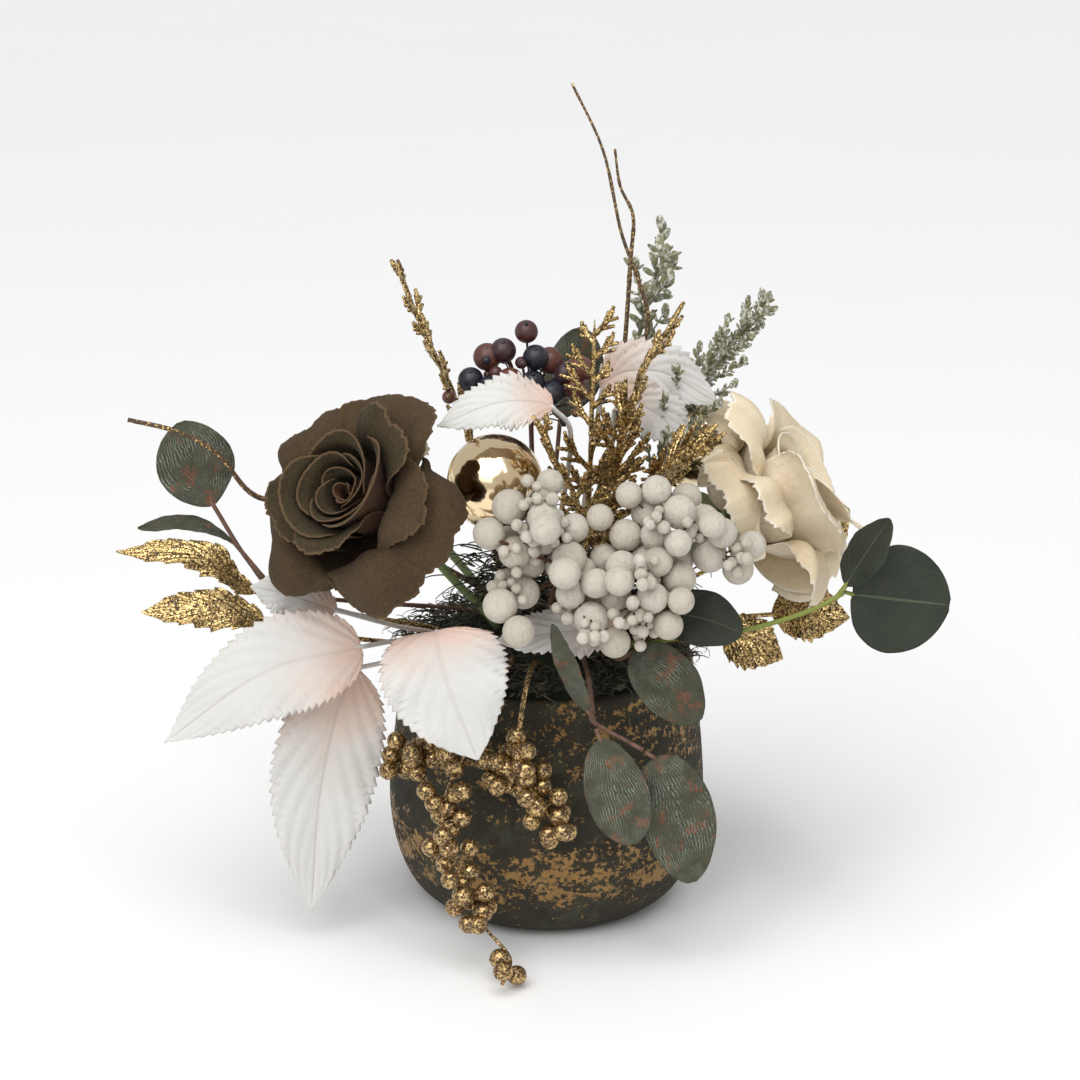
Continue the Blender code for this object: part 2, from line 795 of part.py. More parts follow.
def make_gold_leaves():
    """Stiff leaves under coarse glitter: two to the left and three to the right."""
    leaf(
        "gold_leaf_left_upper",
        rooted(186, 46, STEM_R, [(-84, -17, 138), (-127, -32, 154), (-150, -34, 171), (-186, -34, 173)]),
        3,
        0.45,
        14,
        (0, -0.6, 0.8),
        "glitter",
    )
    leaf(
        "gold_leaf_left_lower",
        rooted(
            200,
            38,
            STEM_R,
            [(-60, -28, 129), (-106, -46, 141), (-122, -50, 148), (-146, -54, 154), (-173, -56, 153)],
        ),
        4,
        0.45,
        16,
        (0, -0.75, 0.65),
        "glitter",
    )
    leaf(
        "gold_leaf_right_upper",
        rooted(22, 42, STEM_R, [(76, 36, 142), (108, 48, 150), (124, 50, 158), (140, 50, 166)]),
        3,
        0.5,
        32,
        (0, -1, 0.2),
        "glitter",
        blunt=0.4,
    )
    leaf(
        "gold_leaf_right_middle",
        rooted(2, 46, STEM_R, [(76, 6, 128), (102, 9, 129), (118, 10, 130), (137, 10, 127)]),
        3,
        0.45,
        26,
        (0, -0.8, 0.6),
        "glitter",
    )
    leaf(
        "gold_leaf_right_lower",
        rooted(336, 46, STEM_R, [(62, -28, 130), (76, -32, 134), (89, -34, 131), (103, -35, 124)]),
        3,
        0.45,
        22,
        (0, -0.85, 0.5),
        "glitter",
    )


def make_left_and_back_foliage():
    olive = leaf(
        "olive_leaf_left_blade",
        [(-124, -22, 157), (-137, -16, 171), (-157, -12, 179), (-180, -10, 176)],
        1,
        0.6,
        9,
        (0, -0.5, 0.85),
        "lamb_ear",
        stem_r=0.9,
    )
    copper_run = [(-80, -9, 141), (-117, -20, 150), (-131, -19, 164), (-146, -14, 188), (-153, -13, 206)]
    copper = leaf(
        "copper_leaf_spray",
        rooted(180, 32, STEM_R, [*copper_run, (-159, -12, 225)]),
        5,
        0.5,
        34,
        (0.2, -1, 0),
        "lamb_ear",
        blunt=0.4,
    )
    united(copper, [olive])
    leaf(
        "olive_leaf_back",
        rooted(95, 24, STEM_R, [(2, 30, 170), (6, 30, 215), (12, 30, 236), (16, 29, 257)]),
        3,
        0.5,
        26,
        (0, -1, 0.2),
        "lamb_ear",
        blunt=0.4,
    )


def make_front_trail():
    """A frosted spray that hangs over the front rim at the right, with four soft ribbed leaves."""
    over_rim = [(17, -70, 131), (18, -84, 128), (19, -90, 121), (20, -93, 117), (40, -93, 105)]
    route = rooted(289, 42, STEM_R, over_rim)
    stem = tube_mesh("frosted_trail_stem", smooth(route, 2, True), 1.1, 1.0, "lamb_ear")
    narrow = leaf(
        "frosted_narrow_blade",
        [(19.5, -93, 118), (17, -98, 124), (9, -103, 144), (2, -107, 166)],
        1,
        0.5,
        10,
        (-0.4, -0.9, 0.1),
        "lamb_ear",
        stem_r=0.9,
    )
    united(stem, [narrow])
    leaf(
        "frosted_leaf_oval",
        [(20, -94.5, 115.1), (22, -96, 111), (29, -98, 88), (36, -98, 64)],
        1,
        0.55,
        27,
        (-0.1, -1, 0.1),
        "lamb_ear",
        stem_r=0.9,
        blunt=0.4,
    )
    leaf(
        "frosted_leaf_large",
        [(40.8, -93, 104.1), (45, -92, 101), (55, -89, 74), (62, -88, 42)],
        1,
        0.5,
        32,
        (0.15, -1, 0.1),
        "lamb_ear",
        stem_r=0.9,
        blunt=0.4,
    )
    leaf(
        "frosted_leaf_upper",
        rooted(303, 44, STEM_R, [(30, -62, 134), (36, -80, 144), (50, -84, 132), (64, -83, 114)]),
        3,
        0.5,
        27,
        (0.3, -0.9, 0.3),
        "lamb_ear",
        blunt=0.4,
    )


def make_eucalyptus():
    route = rooted(322, 46, 1.2, [(60, -50, 140), (84, -64, 148), (110, -66, 157), (125, -63, 164)])
    stem = tube_mesh("eucalyptus_stem", smooth(route, 2, True), 1.2, 1.1, "stem_green")
    upright = leaf(
        "eucalyptus_upright_blade",
        [(122, -63.5, 162), (126, -64, 168), (134, -62, 181), (144, -60, 196)],
        1,
        0.5,
        24,
        (-0.85, -0.5, 0.3),
        "eucalyptus",
        stem_r=0.9,
    )
    united(stem, [upright])
    leaf(
        "eucalyptus_leaf_round",
        [(125.8, -62.8, 164.5), (129, -61, 163), (148, -59, 160), (172, -58, 157)],
        1,
        0.5,
        47,
        (0, -1, 0.15),
        "eucalyptus",
        stem_r=0.9,
        blunt=0.4,
    )
    leaf(
        "eucalyptus_leaf_low",
        rooted(312, 46, STEM_R, [(41, -49, 140), (47, -60, 153), (64, -68, 155), (82, -71, 149)]),
        3,
        0.5,
        24,
        (0, -0.8, 0.6),
        "eucalyptus",
        blunt=0.4,
    )


clear_scene()
parts = collection("floral_centrepiece")
cutters = collection("cutters")
make_pot()
make_moss()
make_roses()
make_ornaments()
make_white_berries()
make_dark_berries()
make_gold_trails()
make_cedar()
make_twigs()
make_frosted_sprigs()
make_blush_leaves()
make_gold_leaves()
make_left_and_back_foliage()
make_front_trail()
make_eucalyptus()
make_foam()
apply_joins()
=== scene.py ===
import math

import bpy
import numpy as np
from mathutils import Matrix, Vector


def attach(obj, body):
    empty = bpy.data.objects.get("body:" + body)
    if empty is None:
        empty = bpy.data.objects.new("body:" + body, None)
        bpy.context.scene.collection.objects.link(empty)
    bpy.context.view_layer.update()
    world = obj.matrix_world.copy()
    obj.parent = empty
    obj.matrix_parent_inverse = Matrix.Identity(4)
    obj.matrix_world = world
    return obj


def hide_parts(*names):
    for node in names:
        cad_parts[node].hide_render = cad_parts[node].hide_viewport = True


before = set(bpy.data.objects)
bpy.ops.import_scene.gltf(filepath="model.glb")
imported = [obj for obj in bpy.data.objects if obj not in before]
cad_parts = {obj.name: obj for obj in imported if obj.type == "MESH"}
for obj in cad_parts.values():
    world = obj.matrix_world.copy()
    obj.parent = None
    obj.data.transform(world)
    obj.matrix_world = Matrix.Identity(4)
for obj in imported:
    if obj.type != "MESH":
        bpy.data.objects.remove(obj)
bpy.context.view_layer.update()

# %% [markdown]
# # A floral table centrepiece
# A round stoneware pot is packed with dry foam, and every stem of the arrangement is pushed into that foam.
# The loaded frame already holds one plain solid for each piece, at its true place and size. This lesson
# grows a detailed surface for each of them: ruffled fabric petals, toothed velvet leaves, wrinkled berries
# and glittered sprigs. Lengths are in millimetres until a mesh is made, and the front faces -Y.

MM = 0.001
rng = np.random.default_rng(11)

# %% [markdown]
# ## Paths
# A wired stem leaves the foam straight and then bends through a few places. A smooth curve through those
# places (Catmull-Rom) gives the path. A Bezier curve object would do too, but its points could not be
# handed on to the berries and leaves that sit along it.

# %% Smooth paths and the directions across them
FOAM_EDGE_Z, FOAM_TOP_Z, FOAM_R = 119.0, 137.0, 54.0
STEM_DEPTH, STEM_AIM_Z, STRAIGHT_LEAD = 15.0, 60.0, 3.0
GOLDEN_ANGLE = math.radians(137.5)


def smooth(points, per_span=8):
    """Catmull-Rom curve: each span blends its two ends and the slopes taken from their outer neighbours."""
    p = np.asarray(points, float)
    p = np.concatenate([[2 * p[0] - p[1]], p, [2 * p[-1] - p[-2]]])
    t = np.linspace(0, 1, per_span, endpoint=False)[:, None]
    spans = [
        0.5 * (2 * b + (c - a) * t + (2 * a - 5 * b + 4 * c - d) * t**2 + (3 * b - a - 3 * c + d) * t**3)
        for a, b, c, d in zip(p[:-3], p[1:-2], p[2:-1], p[3:])
    ]
    return np.concatenate([*spans, p[-2:-1]])


def rooted(azimuth, ring, waypoints):
    """A stem starts deep in the foam, leaves it at (azimuth, ring) and runs through its waypoints."""
    turn = math.radians(azimuth)
    height = FOAM_TOP_Z - (FOAM_TOP_Z - FOAM_EDGE_Z) * (ring / FOAM_R) ** 2
    entry = np.array([ring * math.cos(turn), ring * math.sin(turn), height])
    along = entry - np.array([0, 0, STEM_AIM_Z])
    along /= np.linalg.norm(along)
    return np.array([entry - along * STEM_DEPTH, entry + along * STRAIGHT_LEAD, *waypoints])


def frames(path):
    """Side, up and forward at each point: side is forward x a fixed direction, and up is side x forward."""
    ahead = np.gradient(path, axis=0)
    ahead /= np.maximum(np.linalg.norm(ahead, axis=1, keepdims=True), 1e-9)
    seed = np.array([0.0, 0.0, 1.0]) if abs(ahead[0, 2]) < 0.9 else np.array([1.0, 0.0, 0.0])
    side = np.cross(ahead, seed)
    side /= np.maximum(np.linalg.norm(side, axis=1, keepdims=True), 1e-9)
    return side, np.cross(side, ahead), ahead


def unit(v):
    v = np.asarray(v, float)
    return v / np.linalg.norm(v)


def smoothstep(low, high, x):
    """0 below low and 1 above high, with the curve 3t^2 - 2t^3 between them."""
    t = np.clip((x - low) / (high - low), 0, 1)
    return t * t * (3 - 2 * t)


print("a path through 4 places has", len(smooth(np.eye(4, 3))), "points")


# %% [markdown]
# ## One way to make every mesh
# Each surface below is worked out as a grid of points. A small collector keeps the grids of one piece,
# turns any that came out inside out, and writes them all to one mesh with a UV map and a tint value.
# Modelling by hand would also work, but arrays make hundreds of leaves and berries as easily as one.

# %% Collector for the surfaces of one piece
class Surfaces:
    """Points, faces, UVs and tints of all the closed surfaces that make one piece."""

    def __init__(self):
        self.points, self.quads, self.tris, self.uvs, self.tints = [], [], [], [], []
        self.count = 0

    def add(self, points, quads, tris, uvs, tint=0.5):
        """Volume is a sixth of the sum of a . (b x c) over the triangles: a negative sum means inside out."""
        fan = np.concatenate([quads[:, [0, 1, 2]], quads[:, [0, 2, 3]], tris])
        a, b, c = points[fan[:, 0]], points[fan[:, 1]], points[fan[:, 2]]
        if np.einsum("ij,ij->", a, np.cross(b, c)) < 0:
            quads, tris = quads[:, ::-1], tris[:, ::-1]
        self.points.append(points)
        self.quads.append(quads + self.count)
        self.tris.append(tris + self.count)
        self.uvs.append(uvs)
        self.tints.append(np.broadcast_to(tint, len(points)))
        self.count += len(points)


# %% [markdown]
# ## Tubes, sheets and balls
# Stems are tubes, petals and leaves are thin sheets, and berries are balls. Blender's curve bevels, Solidify
# and its sphere primitive could make them one by one. A grid of points joined to its neighbours covers all
# three, with a fan of triangles where a round grid has to be closed.

# %% Faces for grids and ends
NO_TRIS = np.zeros((0, 3), int)


def grid_quads(rows, columns, closed):
    """Quads between neighbouring rows and columns. A closed grid also joins its last column to its first."""
    index = np.arange(rows * columns).reshape(rows, columns)
    ahead = np.roll(index, -1, axis=1)
    if not closed:
        index, ahead = index[:, :-1], ahead[:, :-1]
    return np.stack([index[:-1], ahead[:-1], ahead[1:], index[1:]], axis=-1).reshape(-1, 4)


def end_fans(rings, sides):
    """Triangles from the first ring to the point after all rings, and from the last ring to the next one."""
    first = np.arange(sides)
    last = first + (rings - 1) * sides
    opening = np.stack([np.roll(first, -1), first, np.full(sides, rings * sides)], 1)
    closing = np.stack([last, np.roll(last, -1), np.full(sides, rings * sides + 1)], 1)
    return np.concatenate([opening, closing])


print("3 rings of 8 make", len(grid_quads(3, 8, True)), "quads and", len(end_fans(3, 8)), "triangles")


# %% A tube along a path
def add_tube(made, path, radii, sides=8, tint=0.5):
    """Each ring is centre + r (cos a side + sin a up). A point at each end closes the tube."""
    path = np.asarray(path, float)
    rows = len(path)
    side, up, _ = frames(path)
    turn = np.linspace(0, 2 * np.pi, sides, endpoint=False)
    round_it = side[:, None] * np.cos(turn)[:, None] + up[:, None] * np.sin(turn)[:, None]
    ring = path[:, None] + np.broadcast_to(radii, rows)[:, None, None] * round_it
    points = np.concatenate([ring.reshape(-1, 3), path[:1], path[-1:]])
    along = np.repeat(np.linspace(0, 1, rows), sides)
    around = np.tile(turn / (2 * np.pi), rows)
    uvs = np.concatenate([np.stack([around, along], 1), [[0.5, 0], [0.5, 1]]])
    made.add(points, grid_quads(rows, sides, True), end_fans(rows, sides), uvs, tint)


# %% A thin sheet
def add_sheet(made, grid, thickness, tints=(0.5, 0.5)):
    """A thin closed skin round a grid: the grid moved half the thickness each way along its normals, with a
    rim. The two tints are those of the side that the normals point to and of the other side."""
    rows, columns = grid.shape[:2]
    size = rows * columns
    normal = np.cross(np.gradient(grid, axis=1), np.gradient(grid, axis=0))
    normal /= np.maximum(np.linalg.norm(normal, axis=-1, keepdims=True), 1e-9)
    shift = normal * thickness / 2
    points = np.concatenate([(grid + shift).reshape(-1, 3), (grid - shift).reshape(-1, 3)])
    top = grid_quads(rows, columns, False)
    index = np.arange(size).reshape(rows, columns)
    rim = np.concatenate([index[0, :], index[1:, -1], index[-1, -2::-1], index[-2:0:-1, 0]])
    after = np.roll(rim, -1)
    wall = np.stack([after, rim, rim + size, after + size], 1)
    u, v = np.meshgrid(np.linspace(0, 1, columns), np.linspace(0, 1, rows))
    uvs = np.tile(np.stack([u.ravel(), v.ravel()], 1), (2, 1))
    quads = np.concatenate([top, top[:, ::-1] + size, wall])
    made.add(points, quads, NO_TRIS, uvs, np.repeat(tints, size))


# %% A ball
def add_ball(made, centre, radius, sides=12, rows=8, tint=0.5, stretch=(1, 1, 1), turn=None):
    """A sphere by latitude and longitude, with one point at each pole."""
    lat = np.linspace(0, np.pi, rows + 1)[1:-1][:, None]
    lon = np.linspace(0, 2 * np.pi, sides, endpoint=False)[None]
    shape = np.stack([np.sin(lat) * np.cos(lon), np.sin(lat) * np.sin(lon), np.cos(lat) + 0 * lon], -1)
    points = np.concatenate([shape.reshape(-1, 3), [[0, 0, 1], [0, 0, -1]]]) * radius * np.array(stretch)
    if turn is not None:
        points = points @ turn.T
    uvs = 0.5 + points[:, [0, 2]] / radius / 2
    quads, fans = grid_quads(rows - 1, sides, True), end_fans(rows - 1, sides)
    made.add(points + np.asarray(centre, float), quads, fans, uvs, tint)


# %% [markdown]
# ## From arrays to a mesh
# Blender can take points and faces as lists with from_pydata. foreach_set hands over whole arrays at once,
# which stays fast with thousands of berries. Each piece then rides on the body and hides the solids it
# replaces.

# %% Write one piece to Blender
def piece(name, made, material, nodes):
    """Writes the surfaces as one smooth mesh, rides it on the root and hides the solids it replaces."""
    points = np.concatenate(made.points) * MM
    quads, tris = np.concatenate(made.quads), np.concatenate(made.tris)
    corners = np.concatenate([quads.ravel(), tris.ravel()]).astype(np.int32)
    starts = np.concatenate([np.arange(len(quads)) * 4, len(quads) * 4 + np.arange(len(tris)) * 3])
    mesh = bpy.data.meshes.new(name)
    mesh.vertices.add(len(points))
    mesh.loops.add(len(corners))
    mesh.polygons.add(len(starts))
    mesh.vertices.foreach_set("co", points.astype(np.float32).ravel())
    mesh.loops.foreach_set("vertex_index", corners)
    mesh.polygons.foreach_set("loop_start", starts.astype(np.int32))
    mesh.update(calc_edges=True)
    mesh.validate()
    layer = mesh.uv_layers.new(name="UVMap")
    layer.data.foreach_set("uv", np.concatenate(made.uvs)[corners].astype(np.float32).ravel())
    tint = mesh.attributes.new("tint", "FLOAT", "POINT")
    tint.data.foreach_set("value", np.concatenate(made.tints).astype(np.float32))
    mesh.shade_smooth()
    mesh.materials.append(material)
    obj = bpy.data.objects.new(name, mesh)
    bpy.context.scene.collection.objects.link(obj)
    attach(obj, "root")
    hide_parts(*nodes)
    print(name, len(quads) * 2 + len(tris), "triangles")


# %% [markdown]
# ## Finishes
# Every finish is a Principled shader fed by procedural patterns: noise for mottling, cells for glitter, UV
# for edges and veins. Image textures could be mapped on instead, but procedural patterns stay sharp at any
# distance and carry no image files.

# %% A short way to write shader nodes
class Finish:
    """Builds one material. Each method adds a node and gives back the socket that the next one reads."""

    def __init__(self, name, roughness=0.6, metallic=0.0, **more):
        self.material = bpy.data.materials.new(name)
        self.material.use_nodes = True
        self.tree = self.material.node_tree
        self.shader = self.tree.nodes["Principled BSDF"]
        self.shader.inputs["Roughness"].default_value = roughness
        self.shader.inputs["Metallic"].default_value = metallic
        for socket, value in more.items():
            self.shader.inputs[socket.replace("_", " ")].default_value = value
        self.height_below = None

    def put(self, target, value):
        if isinstance(value, bpy.types.NodeSocket):
            self.tree.links.new(value, target)
        else:
            target.default_value = value

    def place(self):
        return self.tree.nodes.new("ShaderNodeTexCoord").outputs["Object"]

    def uv(self):
        split = self.tree.nodes.new("ShaderNodeSeparateXYZ")
        self.put(split.inputs[0], self.tree.nodes.new("ShaderNodeTexCoord").outputs["UV"])
        return split.outputs["X"], split.outputs["Y"]

    def from_midrib(self):
        """How far a point of a blade is from its middle line, 0 to 0.5, and how far along the blade it is."""
        across, along = self.uv()
        return self.math("ABSOLUTE", self.minus(across, 0.5)), along

    def height(self):
        split = self.tree.nodes.new("ShaderNodeSeparateXYZ")
        self.put(split.inputs[0], self.place())
        return split.outputs["Z"]

    def tint(self):
        read = self.tree.nodes.new("ShaderNodeAttribute")
        read.attribute_name = "tint"
        return read.outputs["Fac"]

    def noise(self, scale, detail=4.0, rough=0.55, stretch=None):
        made = self.tree.nodes.new("ShaderNodeTexNoise")
        made.inputs["Scale"].default_value = scale
        made.inputs["Detail"].default_value = detail
        made.inputs["Roughness"].default_value = rough
        place = self.place()
        if stretch:
            mapping = self.tree.nodes.new("ShaderNodeMapping")
            mapping.inputs["Scale"].default_value = stretch
            self.put(mapping.inputs["Vector"], place)
            place = mapping.outputs[0]
        self.put(made.inputs["Vector"], place)
        return made.outputs["Fac"]

    def cells(self, scale):
        made = self.tree.nodes.new("ShaderNodeTexVoronoi")
        made.inputs["Scale"].default_value = scale
        self.put(made.inputs["Vector"], self.place())
        return made.outputs["Color"]

    def math(self, operation, a, b=0.0):
        made = self.tree.nodes.new("ShaderNodeMath")
        made.operation = operation
        self.put(made.inputs[0], a)
        self.put(made.inputs[1], b)
        return made.outputs[0]

    def times(self, a, b):
        return self.math("MULTIPLY", a, b)

    def plus(self, a, b):
        return self.math("ADD", a, b)

    def minus(self, a, b):
        return self.math("SUBTRACT", a, b)

    def larger(self, a, b):
        return self.math("MAXIMUM", a, b)

    def step(self, value, low, high, to_low=0.0, to_high=1.0):
        """Goes smoothly from to_low to to_high while the value goes from low to high."""
        made = self.tree.nodes.new("ShaderNodeMapRange")
        made.interpolation_type = "SMOOTHSTEP"
        for target, given in zip(made.inputs, (value, low, high, to_low, to_high)):
            self.put(target, given)
        return made.outputs[0]

    def mix(self, share, a, b):
        made = self.tree.nodes.new("ShaderNodeMix")
        made.data_type = "RGBA"
        self.put(made.inputs[0], share)
        for target, value in ((made.inputs[6], a), (made.inputs[7], b)):
            self.put(target, value if isinstance(value, bpy.types.NodeSocket) else (*value, 1))
        return made.outputs[2]

    def bump(self, height, distance_mm, strength=1.0):
        made = self.tree.nodes.new("ShaderNodeBump")
        made.inputs["Distance"].default_value = distance_mm * MM
        made.inputs["Strength"].default_value = strength
        self.put(made.inputs["Height"], height)
        if self.height_below is not None:
            self.put(made.inputs["Normal"], self.height_below)
        self.height_below = made.outputs[0]
        self.put(self.shader.inputs["Normal"], made.outputs[0])

    def colour(self, value):
        self.put(self.shader.inputs["Base Color"], value)

    def roughness(self, value):
        self.put(self.shader.inputs["Roughness"], value)

    def metallic(self, value):
        self.put(self.shader.inputs["Metallic"], value)


print("patterns: noise, cells, height, blade coordinates")


# %% [markdown]
# ## Finishes for the pot and its filling
# The pot is gritty stoneware with gold-copper specks. A painted texture would show a seam; noise in object
# space has none, and the height of a point decides where the specks crowd into a band.

# %% Stoneware, foam and moss
def stoneware_finish():
    """Dark pitted grit with throwing rings, gold-copper specks all over and a denser gold band low down."""
    made = Finish("stoneware", roughness=0.7, Specular_IOR_Level=0.25)
    ground = made.mix(made.noise(85, 6, 0.65), (0.010, 0.009, 0.006), (0.062, 0.054, 0.036))
    lichen = made.step(made.noise(60, 5, 0.7), 0.52, 0.62)
    ground = made.mix(made.times(lichen, 0.5), ground, (0.060, 0.066, 0.040))
    z = made.height()
    band = made.times(made.step(z, 0.012, 0.030), made.step(z, 0.060, 0.036))
    upper = made.times(made.step(z, 0.045, 0.085), 0.62)
    presence = made.larger(band, upper)
    speckle = made.noise(430, 5, 0.7)
    patches = made.noise(75, 5, 0.65, (1, 1, 2.0))
    wanted = made.plus(made.times(speckle, 0.55), made.times(patches, 0.45))
    cut = made.minus(0.595, made.times(presence, 0.105))
    gold = made.step(made.minus(wanted, cut), 0.0, 0.03)
    leaf_colour = made.mix(made.noise(120, 4), (0.20, 0.095, 0.032), (0.42, 0.27, 0.10))
    made.colour(made.mix(gold, ground, leaf_colour))
    made.metallic(made.times(gold, 0.55))
    made.roughness(made.step(gold, 0, 1, 0.82, 0.42))
    made.bump(made.noise(16, 3, 0.5, (0.6, 0.6, 7)), 2.6, 0.7)
    made.bump(made.noise(130, 5, 0.7), 1.6, 0.8)
    made.bump(made.noise(420, 5, 0.7), 0.7, 0.9)
    return made.material


def foam_finish():
    made = Finish("dry_foam", roughness=0.95)
    made.colour(made.mix(made.noise(300, 4), (0.010, 0.014, 0.008), (0.035, 0.05, 0.025)))
    made.bump(made.noise(900, 4, 0.7), 1.0)
    return made.material


def moss_finish():
    made = Finish("dried_moss", roughness=0.85)
    dark = made.mix(made.tint(), (0.012, 0.012, 0.009), (0.12, 0.115, 0.08))
    made.colour(made.mix(made.step(made.noise(90), 0.45, 0.7), dark, (0.16, 0.14, 0.09)))
    made.bump(made.noise(1500), 0.3)
    return made.material


# %% [markdown]
# ## Fabric finishes
# The petals are dyed suede and ivory cloth, a little different on their two sides, with painted shade at the
# foot.
# The velvet leaves blush from their foot. A weave image could be tiled, but brushed nap has no threads to
# show, so noise gives it.

# %% Petal fabrics
def petal_finish(name, inside, outside, foot, edge, edge_amount, grain=0.2):
    """Brushed fabric with its own colour on each side, painted shade at its foot, and a thin worn line at the
    edge.
    The tint is 0 on the inside, 1 on the outside and 2 on the small petals in the middle of the heart."""
    made = Finish(name, roughness=0.9, Specular_IOR_Level=0.2, Sheen_Weight=0.02, Sheen_Roughness=0.5)
    side, v = made.from_midrib()
    worn = made.times(made.noise(260, 3), 0.02)
    rim = made.larger(made.step(made.plus(v, worn), 0.984, 1.0), made.step(side, 0.493, 0.5))
    cloud = made.noise(48, 5)
    sides = made.mix(made.step(made.tint(), 0, 1), inside, outside)
    middle = tuple(c * k for c, k in zip(outside, (1.15, 0.85, 0.85)))
    sides = made.mix(made.step(made.tint(), 1.2, 2.0), sides, middle)
    mottled = made.mix(made.times(made.step(cloud, 0.35, 0.75), 0.4), sides, foot)
    # Painted shade: the foot colour darkens the lower part of each petal, where it sinks deep into the rose.
    body = made.mix(made.step(made.plus(v, made.times(cloud, 0.3)), 0.15, 0.62), foot, mottled)
    nap = made.step(made.noise(750, 4, 0.75), 0.35, 0.68)
    brushed = made.mix(made.times(nap, 0.5), body, edge)
    body = made.mix(0.45, body, brushed)
    made.colour(made.mix(made.times(rim, edge_amount), body, edge))
    streak = made.tree.nodes.new("ShaderNodeTexWave")
    streak.inputs["Scale"].default_value = 4.0
    streak.inputs["Distortion"].default_value = 7.0
    streak.inputs["Detail"].default_value = 3.0
    made.put(streak.inputs["Vector"], made.tree.nodes.new("ShaderNodeTexCoord").outputs["UV"])
    made.bump(streak.outputs["Fac"], 0.16, 0.5)
    made.bump(made.noise(40, 4, 0.6), 3.2, 0.7)
    made.bump(made.noise(900, 3, 0.75), grain, 1.0)
    return made.material


def velvet_leaf_finish():
    """White velvet that blushes pink towards its foot. Its veins are pressed into the mesh itself."""
    sheen = {"Sheen_Weight": 0.05, "Sheen_Roughness": 0.5}
    made = Finish("blush_velvet", roughness=0.92, Specular_IOR_Level=0.2, **sheen)
    side, v = made.from_midrib()
    cloud = made.noise(36, 5)
    blush = made.step(made.plus(v, made.times(cloud, 0.55)), 0.80, 0.28)
    white = made.mix(made.noise(22, 3), (0.60, 0.59, 0.56), (0.70, 0.69, 0.66))
    colour = made.mix(made.times(blush, 0.9), white, (0.66, 0.46, 0.37))
    rib = made.step(side, 0.0, 0.03, 1.0, 0.0)
    edge = made.step(side, 0.485, 0.5)
    colour = made.mix(made.times(edge, 0.25), colour, (0.50, 0.38, 0.29))
    made.colour(made.mix(made.times(rib, 0.12), colour, (0.44, 0.36, 0.30)))
    made.bump(made.times(rib, -1.0), 0.5, 0.6)
    made.bump(made.noise(150, 4, 0.6), 0.9, 0.55)
    made.bump(made.noise(1100, 2), 0.12, 0.7)
    return made.material


# %% [markdown]
# ## Glitter, gold and berry finishes
# Glitter is thousands of flat flakes. Modelling them would take millions of faces; a cell pattern gives each
# flake its own shade, gloss and tilt. The berries get crinkled paper or a dusty wax.

# %% Glitter, gold and berries
def glitter_finish(name, dark, light, grain=1500, gaps=0.25, ground=(0.05, 0.03, 0.012)):
    """Metal flakes: each cell has its own shade and its own tilt, with some bare ground between."""
    made = Finish(name, metallic=0.9)
    split = made.tree.nodes.new("ShaderNodeSeparateColor")
    made.put(split.inputs[0], made.cells(grain))
    shade = split.outputs["Red"]
    flakes = made.mix(shade, dark, light)
    bare = made.step(split.outputs["Green"], gaps, gaps + 0.02, 1.0, 0.0)
    made.colour(made.mix(bare, flakes, ground))
    made.metallic(made.step(bare, 0, 1, 0.95, 0.2))
    made.roughness(made.step(split.outputs["Blue"], 0, 1, 0.18, 0.5))
    made.bump(split.outputs["Blue"], 0.5, 0.9)
    return made.material


def polished_gold_finish():
    made = Finish("polished_gold", metallic=1.0, Coat_Weight=0.3, Coat_Roughness=0.05)
    smear = made.noise(22, 3)
    made.colour(made.mix(smear, (0.86, 0.65, 0.38), (0.95, 0.77, 0.50)))
    made.roughness(made.step(made.noise(90, 5), 0.3, 0.8, 0.07, 0.16))
    made.bump(made.noise(9, 2), 0.25, 0.25)
    return made.material


def paper_berry_finish():
    """Off-white paper, finely crinkled, with painted shade in its folds. Stems have a tint under 0.15."""
    made = Finish("paper_berry", roughness=0.8, Specular_IOR_Level=0.25)
    wrinkle = made.noise(330, 6, 0.75, (1, 1, 0.55))
    # Painted shade: the hollows of the crinkles are darkened in the colour as well as in the bump.
    fold_shade = made.step(wrinkle, 0.30, 0.52, 1.0, 0.0)
    body = made.mix(made.tint(), (0.60, 0.54, 0.44), (0.76, 0.71, 0.62))
    crinkled = made.mix(made.times(fold_shade, 0.32), body, (0.34, 0.28, 0.21))
    bark = made.step(made.tint(), 0.15, 0.2, 1.0, 0.0)
    made.colour(made.mix(bark, crinkled, (0.13, 0.065, 0.035)))
    made.bump(wrinkle, 2.2, 1.0)
    made.bump(made.noise(1300, 3, 0.7), 0.25, 0.8)
    return made.material


def dark_berry_finish():
    """Waxed berries from navy black through burgundy to rust, each with its own tint and a dusty bloom."""
    made = Finish("dark_berry", Coat_Weight=0.12, Coat_Roughness=0.35)
    tint = made.tint()
    night = made.mix(made.step(tint, 0.1, 0.5), (0.010, 0.012, 0.022), (0.055, 0.016, 0.016))
    body = made.mix(made.step(tint, 0.5, 0.95), night, (0.13, 0.042, 0.024))
    bloom = made.step(made.noise(130, 4), 0.5, 0.75)
    made.colour(made.mix(made.times(bloom, 0.3), body, (0.14, 0.13, 0.16)))
    made.roughness(made.step(bloom, 0, 1, 0.42, 0.65))
    made.bump(made.noise(500, 3), 0.25, 0.5)
    return made.material


# %% [markdown]
# ## Leaf and stem finishes
# Ribs and veins follow the blade, so these finishes read its UV map: one direction runs along the midrib and
# the other out to the edge. A sine of the two gives evenly leaning ribs, and noise breaks them up.

